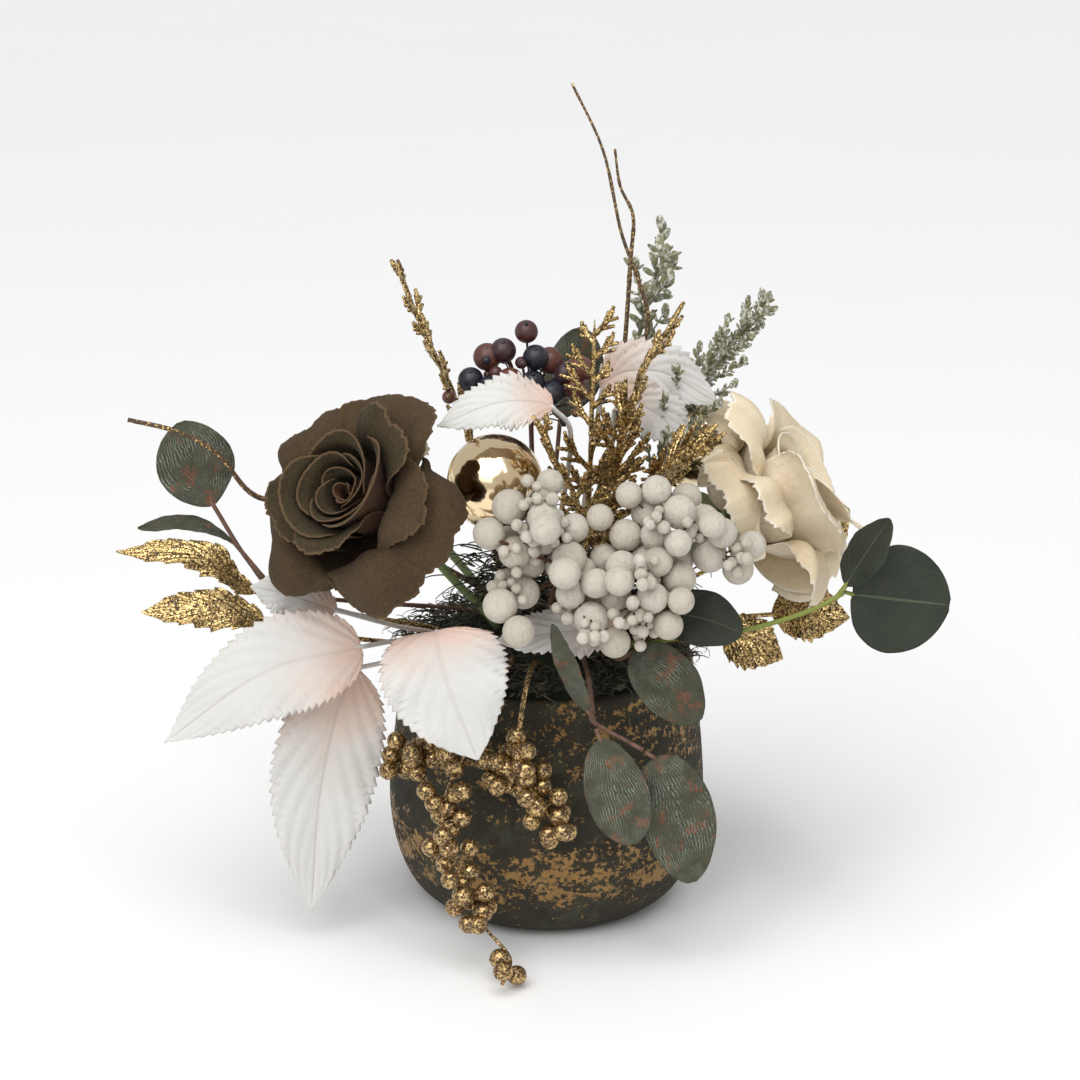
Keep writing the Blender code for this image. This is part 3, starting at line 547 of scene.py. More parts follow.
# %% Leaves, stems and frost
def ribbed_leaf_finish():
    """Grey-green felt with many fine pale ribs, and threads of red-copper foil that follow them in places."""
    made = Finish("foiled_leaf", roughness=0.75, Specular_IOR_Level=0.2)
    side, v = made.from_midrib()
    run = made.minus(made.times(v, 5.0), made.times(side, 21.0))
    run = made.plus(run, made.times(made.noise(75, 6, 0.7), 5.0))
    wave = made.math("SINE", made.times(run, 2 * math.pi))
    worn = made.step(made.noise(90, 5, 0.7), 0.40, 0.62)
    ribs = made.times(made.step(wave, 0.1, 0.9), worn)
    felt = made.mix(made.noise(150, 5, 0.7), (0.020, 0.024, 0.015), (0.120, 0.118, 0.078))
    frost = made.mix(made.times(ribs, 0.75), felt, (0.30, 0.35, 0.28))
    patch = made.step(made.noise(110, 5, 0.7), 0.54, 0.62)
    thread = made.times(patch, made.step(wave, -0.6, -0.92))
    stem = made.step(made.tint(), 0.7, 0.8)
    blade = made.mix(thread, frost, (0.42, 0.09, 0.04))
    made.colour(made.mix(stem, blade, made.mix(made.noise(300, 3), (0.10, 0.045, 0.03), (0.30, 0.19, 0.14))))
    made.metallic(made.times(thread, 0.7))
    made.roughness(made.step(thread, 0, 1, 0.8, 0.4))
    made.bump(ribs, 0.5, 0.9)
    made.bump(made.noise(500, 4, 0.7), 0.4, 0.9)
    return made.material


def eucalyptus_finish():
    """Matte dark green with a pale midrib and fine veins. Stems have a high tint and are yellow-green."""
    made = Finish("eucalyptus", roughness=0.55, Specular_IOR_Level=0.3)
    side, v = made.from_midrib()
    run = made.minus(made.times(v, 8.0), made.times(side, 9.0))
    wave = made.math("ABSOLUTE", made.math("SINE", made.times(run, math.pi)))
    vein = made.step(wave, 0.0, 0.10, 0.5, 0.0)
    rib = made.step(side, 0.006, 0.018, 1.0, 0.0)
    lines = made.larger(vein, rib)
    body = made.mix(made.noise(60, 5), (0.010, 0.015, 0.010), (0.042, 0.050, 0.033))
    blade = made.mix(made.times(lines, 0.5), body, (0.13, 0.15, 0.09))
    stem = made.step(made.tint(), 0.7, 0.8)
    made.colour(made.mix(stem, blade, made.mix(made.noise(90, 3), (0.16, 0.19, 0.035), (0.27, 0.29, 0.07))))
    made.bump(lines, 0.25, 0.6)
    made.bump(made.noise(500, 3), 0.2, 0.4)
    return made.material


def frosted_finish():
    made = Finish("frosted_green", roughness=0.8)
    frost = made.step(made.noise(420, 5, 0.7), 0.46, 0.56)
    body = made.mix(made.tint(), (0.15, 0.16, 0.07), (0.32, 0.31, 0.16))
    made.colour(made.mix(made.times(frost, 0.8), body, (0.74, 0.72, 0.64)))
    made.bump(frost, 0.5, 0.9)
    return made.material


def stem_finish(name, low, high, speck=None):
    made = Finish(name, roughness=0.55)
    body = made.mix(made.noise(160, 4, 0.6, (1, 1, 0.3)), low, high)
    if speck:
        flakes = made.step(made.noise(900, 3, 0.7), 0.55, 0.6)
        body = made.mix(flakes, body, speck)
        made.metallic(made.times(flakes, 0.9))
        made.roughness(made.step(flakes, 0, 1, 0.7, 0.25))
    made.colour(body)
    made.bump(made.noise(500, 3), 0.3, 0.6)
    return made.material


# %% Every finish, made once
STONEWARE = stoneware_finish()
FOAM = foam_finish()
MOSS = moss_finish()
# The third colour of each petal fabric below is painted shade for the foot of its petals, deep in the rose.
TAN, SUEDE_FOOT_SHADE, OLIVE_FOOT_SHADE = (0.17, 0.105, 0.055), (0.018, 0.011, 0.006), (0.012, 0.008, 0.004)
BROWN = petal_finish("brown_suede", (0.068, 0.044, 0.022), (0.070, 0.034, 0.017), SUEDE_FOOT_SHADE, TAN, 0.45, 0.7)
OLIVE = petal_finish("olive_suede", (0.044, 0.035, 0.017), (0.082, 0.041, 0.021), OLIVE_FOOT_SHADE, TAN, 0.6, 0.6)
IVORY = petal_finish(
    "ivory_fabric", (0.76, 0.64, 0.45), (0.85, 0.75, 0.58), (0.54, 0.39, 0.21), (0.88, 0.83, 0.72), 0.6, 0.35
)
BLUSH = velvet_leaf_finish()
GLITTER = glitter_finish("gold_glitter", (0.16, 0.09, 0.025), (0.95, 0.70, 0.32))
BERRY_GROUND = (0.07, 0.04, 0.018)
BERRY_GOLD = glitter_finish("gold_berry", (0.14, 0.08, 0.03), (0.80, 0.56, 0.26), 1300, 0.32, BERRY_GROUND)
POLISHED = polished_gold_finish()
PAPER = paper_berry_finish()
WAXED = dark_berry_finish()
FOILED = ribbed_leaf_finish()
EUCALYPTUS = eucalyptus_finish()
FROSTED = frosted_finish()
GREEN_STEM = stem_finish("green_stem", (0.13, 0.19, 0.07), (0.26, 0.32, 0.14))
BARK = stem_finish("willow_bark", (0.035, 0.020, 0.010), (0.11, 0.065, 0.035), (0.75, 0.50, 0.20))
print(len(bpy.data.materials), "materials")

# %% [markdown]
# ## The pot
# A thrown pot is a surface of revolution. Its outline is a smooth curve from the foot, over a belly that
# sits low, to a rounded rim, and then down the inside. A Screw modifier could turn it; here the profile is
# carried round as an array, with a slow wobble so that it looks made by hand.

# %% Pot
RIM_Z, BELLY_R, FOOT_R, RIM_R, WALL, FLOOR_Z = 112.5, 72.0, 47.0, 66.0, 5.0, 9.0


def add_turned(made, radius, height, sides=128, wobble=0.0):
    """Each profile point goes round the axis at its own radius. The profile starts and ends on the axis."""
    turn = np.linspace(0, 2 * np.pi, sides, endpoint=False)
    inner_r, inner_z = radius[1:-1, None], height[1:-1, None]
    r = inner_r - wobble * (0.5 + 0.5 * np.sin(3 * turn + inner_z / 19)) * smoothstep(4, 20, inner_z)
    ring = np.stack([r * np.cos(turn), r * np.sin(turn), inner_z + 0 * turn], -1)
    rows = len(ring)
    points = np.concatenate([ring.reshape(-1, 3), [[0, 0, height[0]], [0, 0, height[-1]]]])
    uvs = np.stack([points[:, 0] / 150 + 0.5, points[:, 2] / 150], 1)
    made.add(points, grid_quads(rows, sides, True), end_fans(rows, sides), uvs)


pot = Surfaces()
outside = smooth(
    [(FOOT_R, 0), (FOOT_R + 9, 4), (BELLY_R - 8, 13), (BELLY_R - 2, 30), (BELLY_R, 50), (BELLY_R - 1.5, 72),
     (RIM_R + 1.5, 98), (RIM_R + 0.2, 110)],
    7,
)
rim_turn = np.linspace(0, np.pi, 9)
rim = np.stack([RIM_R - WALL / 2 * (1 - np.cos(rim_turn)), RIM_Z + WALL / 2 * np.sin(rim_turn)], 1)
inside = [
    (RIM_R - WALL, 98), (BELLY_R - WALL - 2, 72), (BELLY_R - WALL, 50), (BELLY_R - 14, 20), (43, FLOOR_Z),
]
profile = np.concatenate([[(0, 0)], outside, rim, inside, [(0, FLOOR_Z)]])
add_turned(pot, np.minimum(profile[:, 0], BELLY_R), np.maximum(profile[:, 1], 0), wobble=0.8)
piece("pot_body", pot, STONEWARE, ["pot"])

# %% [markdown]
# ## Foam and moss
# The foam keeps its plain solid: only chinks of it show. Over its edge and the rim lies a tangle of dried
# moss. A fur system could grow it, but some three thousand thin curled tubes are closed surfaces that can be
# exported, and they catch light like the real wiry strands. A looser heap of the dark strands fills in
# between the stems as painted shade, a dark mass where the gaps are only in shadow.

# %% Moss strands
foam_object = bpy.data.objects["foam_block"]
foam_object.data.materials.clear()
foam_object.data.materials.append(FOAM)


def add_strand(made, start, heading, length, curl, radius, tint):
    """A wiry strand: its heading turns at a steady rate sideways and slumps, and its steps are added up."""
    steps = 7
    k = np.arange(steps)
    turn = heading + curl * k / steps
    rise = 0.55 - 1.3 * k / steps
    heading_now = np.stack([np.cos(turn) * np.cos(rise), np.sin(turn) * np.cos(rise), np.sin(rise)], 1)
    path = start + np.cumsum(heading_now * length / steps, axis=0)
    add_tube(made, path, radius * np.linspace(1, 0.4, steps), 3, tint)


moss = Surfaces()
RIM_STRANDS, TOP_STRANDS, SHADE_HEAP_STRANDS = 1500, 700, 900
for k in range(RIM_STRANDS):
    angle = rng.uniform(0, 2 * np.pi)
    ring = rng.uniform(48, 66.5)
    z = np.interp(ring, [48, 60, 66.5], [122, 122, 117]) + rng.uniform(-2, 3)
    start = np.array([ring * math.cos(angle), ring * math.sin(angle), z])
    heading = angle + rng.normal(np.pi / 2, 1.1)
    length, curl, radius = rng.uniform(8, 17), rng.normal(0, 3.6), rng.uniform(0.25, 0.5)
    add_strand(moss, start, heading, length, curl, radius, rng.uniform() ** 2)
for k in range(TOP_STRANDS):
    angle = rng.uniform(0, 2 * np.pi)
    ring = 48 * math.sqrt(rng.uniform())
    z = FOAM_TOP_Z - 18 * (ring / FOAM_R) ** 2 + rng.uniform(-1, 2)
    start = np.array([ring * math.cos(angle), ring * math.sin(angle), z])
    heading, length, curl = rng.uniform(0, 6.28), rng.uniform(10, 26), rng.normal(0, 3.0)
    add_strand(moss, start, heading, length, curl, 0.4, rng.uniform() ** 2)
# Painted shade: this heap of dark strands stands between the stems where the gaps are only in shadow.
for k in range(SHADE_HEAP_STRANDS):
    angle = rng.uniform(0, 2 * np.pi)
    ring = 46 * math.sqrt(rng.uniform())
    z = rng.uniform(140, 188 - 0.5 * ring)
    start = np.array([ring * math.cos(angle) + 12, ring * math.sin(angle) * 0.6 - 14, z])
    heading, length, curl = rng.uniform(0, 6.28), rng.uniform(14, 30), rng.normal(0, 2.5)
    add_strand(moss, start, heading, length, curl, 0.55, rng.uniform() ** 2)
piece("moss_and_shade_heap", moss, MOSS, ["moss_ring"])

# %% [markdown]
# ## Petals
# A fabric petal is stamped from flat cloth and pressed over a bell. Its run from foot to lip is a curve
# that leans further outwards in the outer layers, where it first lies low, then stands up, and then rolls
# its lip back. Moving the points by hand would give one petal; a function of the layer gives them all. The
# tables below hold the direction of that run, in degrees from the rose's axis, at each share of its length.

# %% One petal
RUN_SHARES = (0.0, 0.12, 0.30, 0.52, 0.72, 1.0)
RUN_INNER = (66, 40, 24, 0, 2, 26)
RUN_OUTER = (96, 96, 56, 8, 122, 172)
PETAL_THICKNESS = 0.55
HEART_PETALS = 11


def petal_grid(layer, size, azimuth, spread, phase, fold, long, fray, rows=48, columns=61):
    """Radius and height add up small steps along the layer's direction angle. The grid reads them at the
    share of the run it reaches and turns them round the axis by u. The lip rolls back sooner than the rest
    opens. Waves push it in and out, its side edges roll outwards, and a fold turns one side well back."""
    s = np.linspace(0, 1.08, 160)
    inner, outer = np.interp(s, RUN_SHARES, RUN_INNER), np.interp(s, RUN_SHARES, RUN_OUTER)
    turn = np.radians(inner + (outer - inner) * layer ** np.interp(s, (0.5, 0.9), (1.0, 0.55)))
    step = (43 + 7 * layer) * size * long * (s[1] - s[0])
    radius = 2.0 * size + np.cumsum(np.sin(turn)) * step
    height = np.cumsum(np.cos(turn)) * step
    v, u = np.meshgrid(np.linspace(0, 1, rows), np.linspace(-1, 1, columns), indexing="ij")
    notch = 0.04 * np.exp(-(((u - 0.1) * 7) ** 2))
    lip = 1.02 - 0.27 * np.abs(u) ** 2.8 + 0.03 * np.cos(4 * u + phase) - notch
    lip += fray * (np.sin(37 * u + 3 * phase) + 0.8 * np.sin(61 * u + phase) + 0.6 * np.sin(89 * u))
    reach = v * lip
    r, h, a = (np.interp(reach, s, values) for values in (radius, height, turn))
    edge = smoothstep(0.4, 1.0, v)
    ruffle = 1.0 + 2.6 * layer
    push = ruffle * edge * (np.sin(3.4 * u + phase) + 0.45 * np.sin(8.5 * u + 2.3 * phase))
    push += 0.3 * ruffle * edge * np.sin(17 * u + 5 * phase) * np.abs(u)
    push += (2.0 + 4.0 * layer) * size * np.abs(u) ** 4 * v
    push -= 1.3 * np.exp(-((u * 6) ** 2)) * np.sin(np.pi * v)
    push += abs(fold) * size * np.clip(u * np.sign(fold), 0, 1) ** 2 * v
    r = r + push * np.cos(a)
    h = h - push * np.sin(a)
    angle = np.radians(azimuth + spread * u * (0.80 + 0.20 * np.sin(np.pi * v)))
    return np.stack([r * np.cos(angle), r * np.sin(angle), h], -1)


print("an outer petal's run turns through", RUN_OUTER[-1] - RUN_OUTER[3], "degrees at its lip")

# %% [markdown]
# ## The heart of a rose
# Inside the open petals, cupped ones wrap round each other in a spiral. They could be copies of one petal,
# turned; a formula lets each be wider and taller than the last, with one side edge tucked inside the next.


# %% One heart petal
def heart_grid(share, size, azimuth, phase, tall, rows=30, columns=41):
    """A cupped inner petal: its radius swells to a waist and runs on to its lip, wider and taller from the
    middle (share 0) outwards (share 1). One side edge lies inside and the other outside, in a spiral."""
    v, u = np.meshgrid(np.linspace(0, 1, rows), np.linspace(-1, 1, columns), indexing="ij")
    rim = (1.6 + 17.0 * share**1.1) * size
    waist = (3.0 + 11.5 * share) * size
    reach = v * (1 - 0.17 * np.abs(u) ** 2.6 + 0.025 * np.cos(4 * u + phase) + 0.004 * np.sin(43 * u + phase))
    r = 1.5 + (waist - 1.5) * np.sin(np.pi / 2 * np.clip(reach / 0.5, 0, 1))
    r = r + (rim - waist) * smoothstep(0.42, 1.0, reach)
    r = r + (0.5 + 2.6 * share) * size * smoothstep(0.86, 1.0, reach)
    r = r * (1 + (0.24 - 0.10 * share) * u) + 0.5 * np.sin(5 * u + phase) * v
    h = (24 + tall * share) * size * reach**0.92
    angle = np.radians(azimuth + (118 - 44 * share) * u)
    return np.stack([r * np.cos(angle), r * np.sin(angle), h], -1)


def onto_axis(grid, base, axis):
    """Turns a shape that was made along Z so that it stands on the base and points along the axis."""
    turn = np.array(Vector(axis).normalized().to_track_quat("Z", "Y").to_matrix())
    return grid @ turn.T + np.asarray(base, float)


# %% [markdown]
# ## A whole rose
# A stem rises out of the foam to a green calyx with five sepals, the spiral heart sits on it, and the open
# petals stand round the heart. Parenting could place them; here every point is turned onto the rose's axis,
# so that each petal is an object of its own with its place in its mesh.

# %% Rose function
OUT_AND_IN, MIDDLE_TINTS = (1.0, 0.0), (2.0, 2.0)
STEM_R, SEPALS, MIDDLE_PETALS = 1.9, 5, 3


def rose(name, base, axis, root, waypoints, petals, fillers, size, cloths, tall=14, fray=0.004):
    """Stem and calyx, a spiral heart with the petals that fill up behind it, and one object for each open
    petal. A petal is (azimuth, layer, half its spread, fold, length). The cloths are the petals' and the
    heart's."""
    direction = unit(axis)
    base = np.array(base, float)
    stem = Surfaces()
    neck = base - direction * 9 * size
    route = rooted(*root, [*waypoints, neck - direction * 8, neck + direction])
    add_tube(stem, smooth(route), STEM_R, 10)
    t = np.linspace(0, 1, 14)
    cup_path = np.stack([0 * t, 0 * t, -10.5 * size + 9.3 * size * t], 1)
    add_tube(stem, onto_axis(cup_path, base, direction), (2.2 + 8 * t**1.6) * size, 20)
    for k in range(SEPALS):
        v, u = np.meshgrid(np.linspace(0, 1, 14), np.linspace(-1, 1, 7), indexing="ij")
        wide = 5.0 * size * np.sin(np.pi * np.clip(v * 0.86 + 0.12, 0, 1)) ** 0.7
        out = (6 + 13 * v) * size
        sepal = np.stack([out, u * wide, (-4.6 - 7 * v**2.0) * size - 0.05 * u**2 * wide], -1)
        angle = math.radians(72 * k + 20)
        c, s = math.cos(angle), math.sin(angle)
        spin = np.array([[c, -s, 0], [s, c, 0], [0, 0, 1]])
        add_sheet(stem, onto_axis(sepal @ spin.T, base, direction), 0.6)
    piece(name + "_stem_and_calyx", stem, GREEN_STEM, [name + "_stem"])
    heart = Surfaces()
    for k in range(HEART_PETALS):
        tints = MIDDLE_TINTS if k < MIDDLE_PETALS else OUT_AND_IN
        azimuth = 60 + math.degrees(GOLDEN_ANGLE) * k
        grid = heart_grid(k / (HEART_PETALS - 1), size, azimuth, 1.7 * k, tall)
        add_sheet(heart, onto_axis(grid, base, direction), PETAL_THICKNESS, tints)
    for k, (azimuth, layer, spread, fold, long) in enumerate(fillers):
        grid = petal_grid(layer, size, azimuth, spread, 1.3 * k + 0.4, fold, long, fray)
        add_sheet(heart, onto_axis(grid, base, direction), PETAL_THICKNESS, OUT_AND_IN)
    bud = onto_axis(np.array([[0, 0, 0], [0, 0, 12 * size], [0, 0, 21 * size]]), base, direction)
    add_tube(heart, bud, [2.5, 2.5, 0.8], 10, 2.0)
    piece(name + "_spiral_heart", heart, cloths[1], [name + "_heart"])
    for k, (azimuth, layer, spread, fold, long) in enumerate(petals):
        open_petal = Surfaces()
        grid = petal_grid(layer, size, azimuth, spread, 2.1 * k + 0.7, fold, long, fray)
        add_sheet(open_petal, onto_axis(grid, base, direction), PETAL_THICKNESS, OUT_AND_IN)
        piece(f"{name}_cloth_petal_{k + 1}", open_petal, cloths[0], [f"{name}_petal_{k + 1}"])


# %% [markdown]
# ## The three roses
# The brown rose opens towards the front, the cream one is seen from its side, and a small cream one looks
# out at the back. Each list of petals goes round one by one, because no two petals of a rose open alike.

# %% Three roses
rose("brown_rose", (-69.5, -53.8, 197.2), (-0.50, -0.68, 0.54), (215, 28), [(-42, -29, 160)],
     [(0, 0.40, 50, -8, 1.04), (140, 0.50, 56, 0, 1.0), (306, 0.80, 54, -10, 1.10), (78, 0.60, 58, 0, 1.08),
      (218, 0.86, 58, 8, 1.16), (350, 0.85, 60, 0, 1.02)],
     [(285, 0.12, 64, 0, 1.0), (215, 0.22, 52, 6, 0.98), (52, 0.22, 48, 0, 1.12), (180, 0.75, 46, 0, 1.0)],
     1.2, (BROWN, OLIVE), fray=0.007)
rose("cream_rose", (85.5, -4.6, 178.5), (0.80, -0.18, 0.57), (350, 30), [(56, -2, 158)],
     [(190, 0.22, 66, 8, 1.20), (320, 0.46, 58, 0, 1.0), (105, 0.50, 50, -16, 1.12),
      (246, 0.74, 44, 20, 1.05), (150, 0.84, 46, 18, 1.0)],
     [(215, 0.10, 74, 0, 1.10), (40, 0.30, 66, 0, 1.05), (285, 0.60, 38, -22, 1.0), (70, 0.80, 50, 0, 1.0),
      (168, 0.52, 40, -20, 1.05)],
     1.28, (IVORY, IVORY), tall=6, fray=0.011)
rose("back_rose", (-74.6, 29.0, 190.0), (-0.45, 0.75, 0.48), (150, 30), [(-48, 20, 160)],
     [(30, 0.40, 62, 0, 1.0), (167, 0.70, 62, 0, 0.9), (305, 0.95, 62, 0, 0.9)],
     [(240, 0.30, 62, 0, 1.0), (100, 0.55, 60, 0, 0.9)],
     0.86, (IVORY, IVORY), tall=8, fray=0.008)

# %% [markdown]
# ## Polished balls
# Each ball is a thin plastic shell on a wire pick, with a small cap where the wire goes in. Blender's sphere
# primitive would do, but the same grids close the ball, its wire and its cap in one mesh.

# %% Ornaments
def ornament(name, centre, radius, root, waypoints):
    made = Surfaces()
    centre = np.array(centre, float)
    add_ball(made, centre, radius, 96, 64)
    route = smooth(rooted(*root, [*waypoints, centre]))
    add_tube(made, route[:-3], 1.1, 8)
    down = unit(route[-6] - centre)
    cap = np.linspace(0, 1, 6)[:, None]
    add_tube(made, centre + down * (radius - 2.5 + 7 * cap), [5.2, 5.4, 5.0, 4.9, 4.6, 1.5], 24)
    piece(name + "_polished", made, POLISHED, [name])


ornament("gold_ball_front", (-22.2, -42.0, 206.9), 20.5, (245, 16), [(-13, -28, 172)])
ornament("gold_ball_back", (70.0, 34.0, 203.0), 20.0, (35, 20), [(42, 21, 167)])

# %% [markdown]
# ## Berry sprays
# A spray is a wired branch with berries set round it. Each next berry is turned by the golden angle, which
# is how buds space themselves on a real twig, so no two rows line up.

# %% Berries along a branch
def berries_along(route, count, reach, start=0.0):
    """Evenly spaced along the branch from its start share on, each turned 137.5 degrees from the last."""
    line = smooth(route)
    share = start + (1 - start) * (np.arange(count) + 0.5) / count
    place = share * (len(line) - 1)
    low = np.minimum(place.astype(int), len(line) - 2)
    point = line[low] + (line[low + 1] - line[low]) * (place - low)[:, None]
    ahead = line[low + 1] - line[low]
    ahead /= np.linalg.norm(ahead, axis=1, keepdims=True)
    side = np.cross(ahead, [0, 0, 1])
    flat = np.linalg.norm(side, axis=1) < 0.1
    side[flat] = np.cross(ahead[flat], [0, 1, 0])
    side /= np.linalg.norm(side, axis=1, keepdims=True)
    up = np.cross(ahead, side)
    turn = (np.arange(count) * GOLDEN_ANGLE)[:, None]
    return point, point + (side * np.cos(turn) + up * np.sin(turn)) * reach


def add_stalked_berry(made, foot, centre, radius, stalk_r, sides, rows, tint, nub=0.12):
    """A berry, its stalk from the branch, and a tiny nub on the far side."""
    add_ball(made, centre, radius, sides, rows, tint)
    add_tube(made, np.array([foot, (foot + centre) / 2, centre]), stalk_r, 5, 0.1)
    if nub:
        add_ball(made, centre + unit(centre - foot + 1e-6) * radius * 0.97, radius * nub, 6, 4, 0.2)


# %% [markdown]
# ## White berries
# The two sprays are given as branches through a few places, with a count of berries and the share of the
# branch where they start. Rigid body physics could pack them; pushing overlapping pairs apart a few dozen
# times gives the same look and the same result on every run.

# %% White berry sprays
# Each branch is (places, berries, start).
WHITE_LEFT = rooted(262, 32, [(0, -52, 152), (4, -72, 172), (8, -84, 183)])
WHITE_LEFT_BRANCHES = [
    ([(8, -84, 183), (-6, -90, 190), (-20, -92, 197)], 1, 0.6),
    ([(4, -74, 174), (-8, -86, 172), (-22, -92, 171)], 2, 0.55),
    ([(8, -84, 183), (6, -86, 194), (-3, -86, 204), (-14, -84, 211)], 7, 0.1),
]
WHITE_RIGHT = rooted(298, 32, [(22, -48, 152), (28, -70, 168), (32, -86, 180)])
WHITE_RIGHT_BRANCHES = [
    ([(28, -70, 168), (18, -90, 167), (13, -98, 171)], 3, 0.35),
    ([(32, -86, 180), (37, -95, 170), (45, -96, 164)], 3, 0.2),
    ([(32, -86, 180), (42, -90, 186), (54, -90, 180)], 4, 0.0),
    ([(28, -70, 168), (36, -78, 197), (50, -80, 207), (67, -82, 195), (74, -82, 180)], 8, 0.3),
]


def settle(centres, radii, rounds=60):
    """Balls that overlap push each other apart along the line between them, the smaller one further."""
    weight = radii[None] ** 2 / (radii[:, None] ** 2 + radii[None] ** 2)
    for _ in range(rounds):
        apart = centres[:, None] - centres[None]
        distance = np.linalg.norm(apart, axis=2) + np.eye(len(radii)) * 1e3
        overlap = np.clip(radii[:, None] + radii[None] - 0.3 - distance, 0, None) * weight
        centres = centres + 0.5 * (apart / distance[..., None] * overlap[..., None]).sum(axis=1)
    return centres


FRONT_Y, TINY = -120.0, 7


def white_spray(name, main, branches, node):
    """Each branch has a close row of berries, a looser outer row, and bunches of tiny ones in front. Then all
    of them settle against each other, and none comes further forward than the front of the solids."""
    made = Surfaces()
    add_tube(made, smooth(main), 1.1, 8, 0.1)
    feet, centres, radii = [], [], []
    for route, count, start in branches:
        add_tube(made, smooth(route), 0.8, 6, 0.1)
        for reach, size in ((5.5, 6.8), (11.0, 6.2)):
            foot, centre = berries_along(route, count, reach, max(start - 0.02 * reach, 0))
            feet, centres = [*feet, *foot], [*centres, *centre]
            radii += list(size + 0.6 * np.sin(2.3 * np.arange(count)))
        foot, bunch = berries_along(route, count // 3 + 1, 8.0, 0.3)
        for k, middle in enumerate(bunch):
            centres += list(middle + np.array([0, -7.0, 0]) + rng.normal(0, 3.0, (TINY, 3)))
            feet += [foot[k]] * TINY
            radii += list(rng.uniform(2.1, 2.9, TINY))
    radii = np.array(radii)
    centres = settle(np.array(centres), radii)
    centres[:, 1] = np.maximum(centres[:, 1], FRONT_Y + radii)
    for foot, centre, radius in zip(feet, centres, radii):
        sides, rows = (28, 20) if radius > 4 else (14, 10)
        add_stalked_berry(made, foot, centre, radius, 0.4, sides, rows, rng.uniform(0.3, 1), None)
    print(name, len(radii), "berries")
    piece(name, made, PAPER, [node])


white_spray("white_berry_spray_left", WHITE_LEFT, WHITE_LEFT_BRANCHES, "white_berries_left")
white_spray("white_berry_spray_right", WHITE_RIGHT, WHITE_RIGHT_BRANCHES, "white_berries_right")

# %% [markdown]
# ## Dark berries
# Thirteen waxed berries fan out from one fork above the front ball, each on its own stalk, with smaller ones
# hanging under them. They could be placed at random, but a set list keeps their outline.

# %% Dark berries on stalks
DARK_FORK = np.array([-7.0, -4.0, 222.0])
DARK_HEADS = [
    (-33, -9, 243), (-26, -4, 252), (-25, -14, 241), (-19, -5, 255), (-16, -12, 243), (-9, -3, 263),
    (-5, -9, 253), (1, -3, 250), (-6, -12, 243), (8, -6, 245), (14, -2, 246), (13, -10, 238), (2, -12, 238),
]
DARK_R, SHADES = 5.6, (0.05, 0.75, 0.1, 0.35, 0.9, 0.6)
dark = Surfaces()
add_tube(dark, smooth(rooted(120, 10, [(-6, 4, 180), DARK_FORK])), 1.1, 8, 0.8)
for k, head in enumerate(DARK_HEADS):
    head = np.array(head, float)
    bend = DARK_FORK + (head - DARK_FORK) * 0.5 + np.array([0, 0, 3])
    add_tube(dark, smooth([DARK_FORK, bend, head]), 0.6, 6, 0.85)
    add_ball(dark, head, DARK_R + 0.6 * math.sin(2.1 * k), 24, 16, SHADES[k % len(SHADES)])
    add_ball(dark, head + np.array([0, -0.6, 0.75]) * DARK_R, 0.9, 8, 6, 0.0)
    for small in range(3):
        off = head + rng.normal(0, 4.5, 3) + np.array([0, -2.0, -6.0])
        add_tube(dark, smooth([DARK_FORK, (DARK_FORK + off) / 2 + np.array([0, 0, 2]), off]), 0.35, 5, 0.85)
        add_ball(dark, off, rng.uniform(1.8, 3.0), 16, 10, rng.uniform(0, 1))
piece("dark_berry_cluster", dark, WAXED, ["dark_berry_spray"])

# %% [markdown]
# ## Gold berry trails
# Two glittered trails hang over the front rim. An inner row of berries sits close to each branch and an
# outer row fills the gaps; no berry goes below the table. The last branch of the left trail lies on it.

# %% Gold berry trails
LEFT_TRAIL = rooted(252, 44, [(-16, -66, 133), (-22, -78, 128), (-28, -84, 112)])
LEFT_BRANCHES = [
    ([(-24, -80, 124), (-46, -76, 100), (-66, -62, 86)], 8, 0.35),
    ([(-28, -84, 112), (-42, -84, 84), (-44, -86, 62), (-34, -88, 38), (-29, -89, 22)], 12, 0.15),
    ([(-34, -88, 38), (-27, -90, 22), (-16, -98, 11), (-19, -114, 6.8)], 3, 0.6),
]
RIGHT_TRAIL = rooted(266, 46, [(-6, -66, 133), (-9, -80, 128), (-12, -85, 110)])
RIGHT_BRANCHES = [
    ([(-12, -85, 112), (-14, -85, 96), (-4, -86, 80), (8, -86, 60)], 13, 0.1),
    ([(-12, -85, 112), (-16, -84, 100), (-20, -84, 84)], 3, 0.5),
]


def gold_trail(name, main, branches, node):
    made = Surfaces()
    add_tube(made, smooth(main), 1.1, 8)
    for branch, (route, count, start) in enumerate(branches):
        add_tube(made, smooth(route), 0.85, 6)
        feet, centres = berries_along(route, count, 4.3, start)
        for k, (foot, centre) in enumerate(zip(feet, centres)):
            size = 4.5 + 0.25 * math.sin(5 * k)
            centre[2] = max(centre[2], size + 0.4)
            add_stalked_berry(made, foot, centre, size, 0.5, 24, 16, 0.5)
        outer = 0 if branch == 2 else count + 2
        feet, centres = berries_along(route, outer, 8.4, start)
        for k, (foot, centre) in enumerate(zip(feet, centres)):
            centre = np.array([centre[0], min(centre[1], foot[1] + 1), centre[2] + 2])
            add_stalked_berry(made, foot, centre, 4.1, 0.5, 22, 14, 0.5)
    piece(name, made, BERRY_GOLD, [node])


gold_trail("gold_berry_trail_left", LEFT_TRAIL, LEFT_BRANCHES, "gold_berries_left")
gold_trail("gold_berry_trail_right", RIGHT_TRAIL, RIGHT_BRANCHES, "gold_berries_right")

# %% [markdown]
# ## Cedar sprigs
# Glittered cedar is a flat spray: side twigs leave the stem left and right, each carries shorter twigs,
# and all of them are rows of tight scales. A row of scales is a tube whose radius rises and falls.

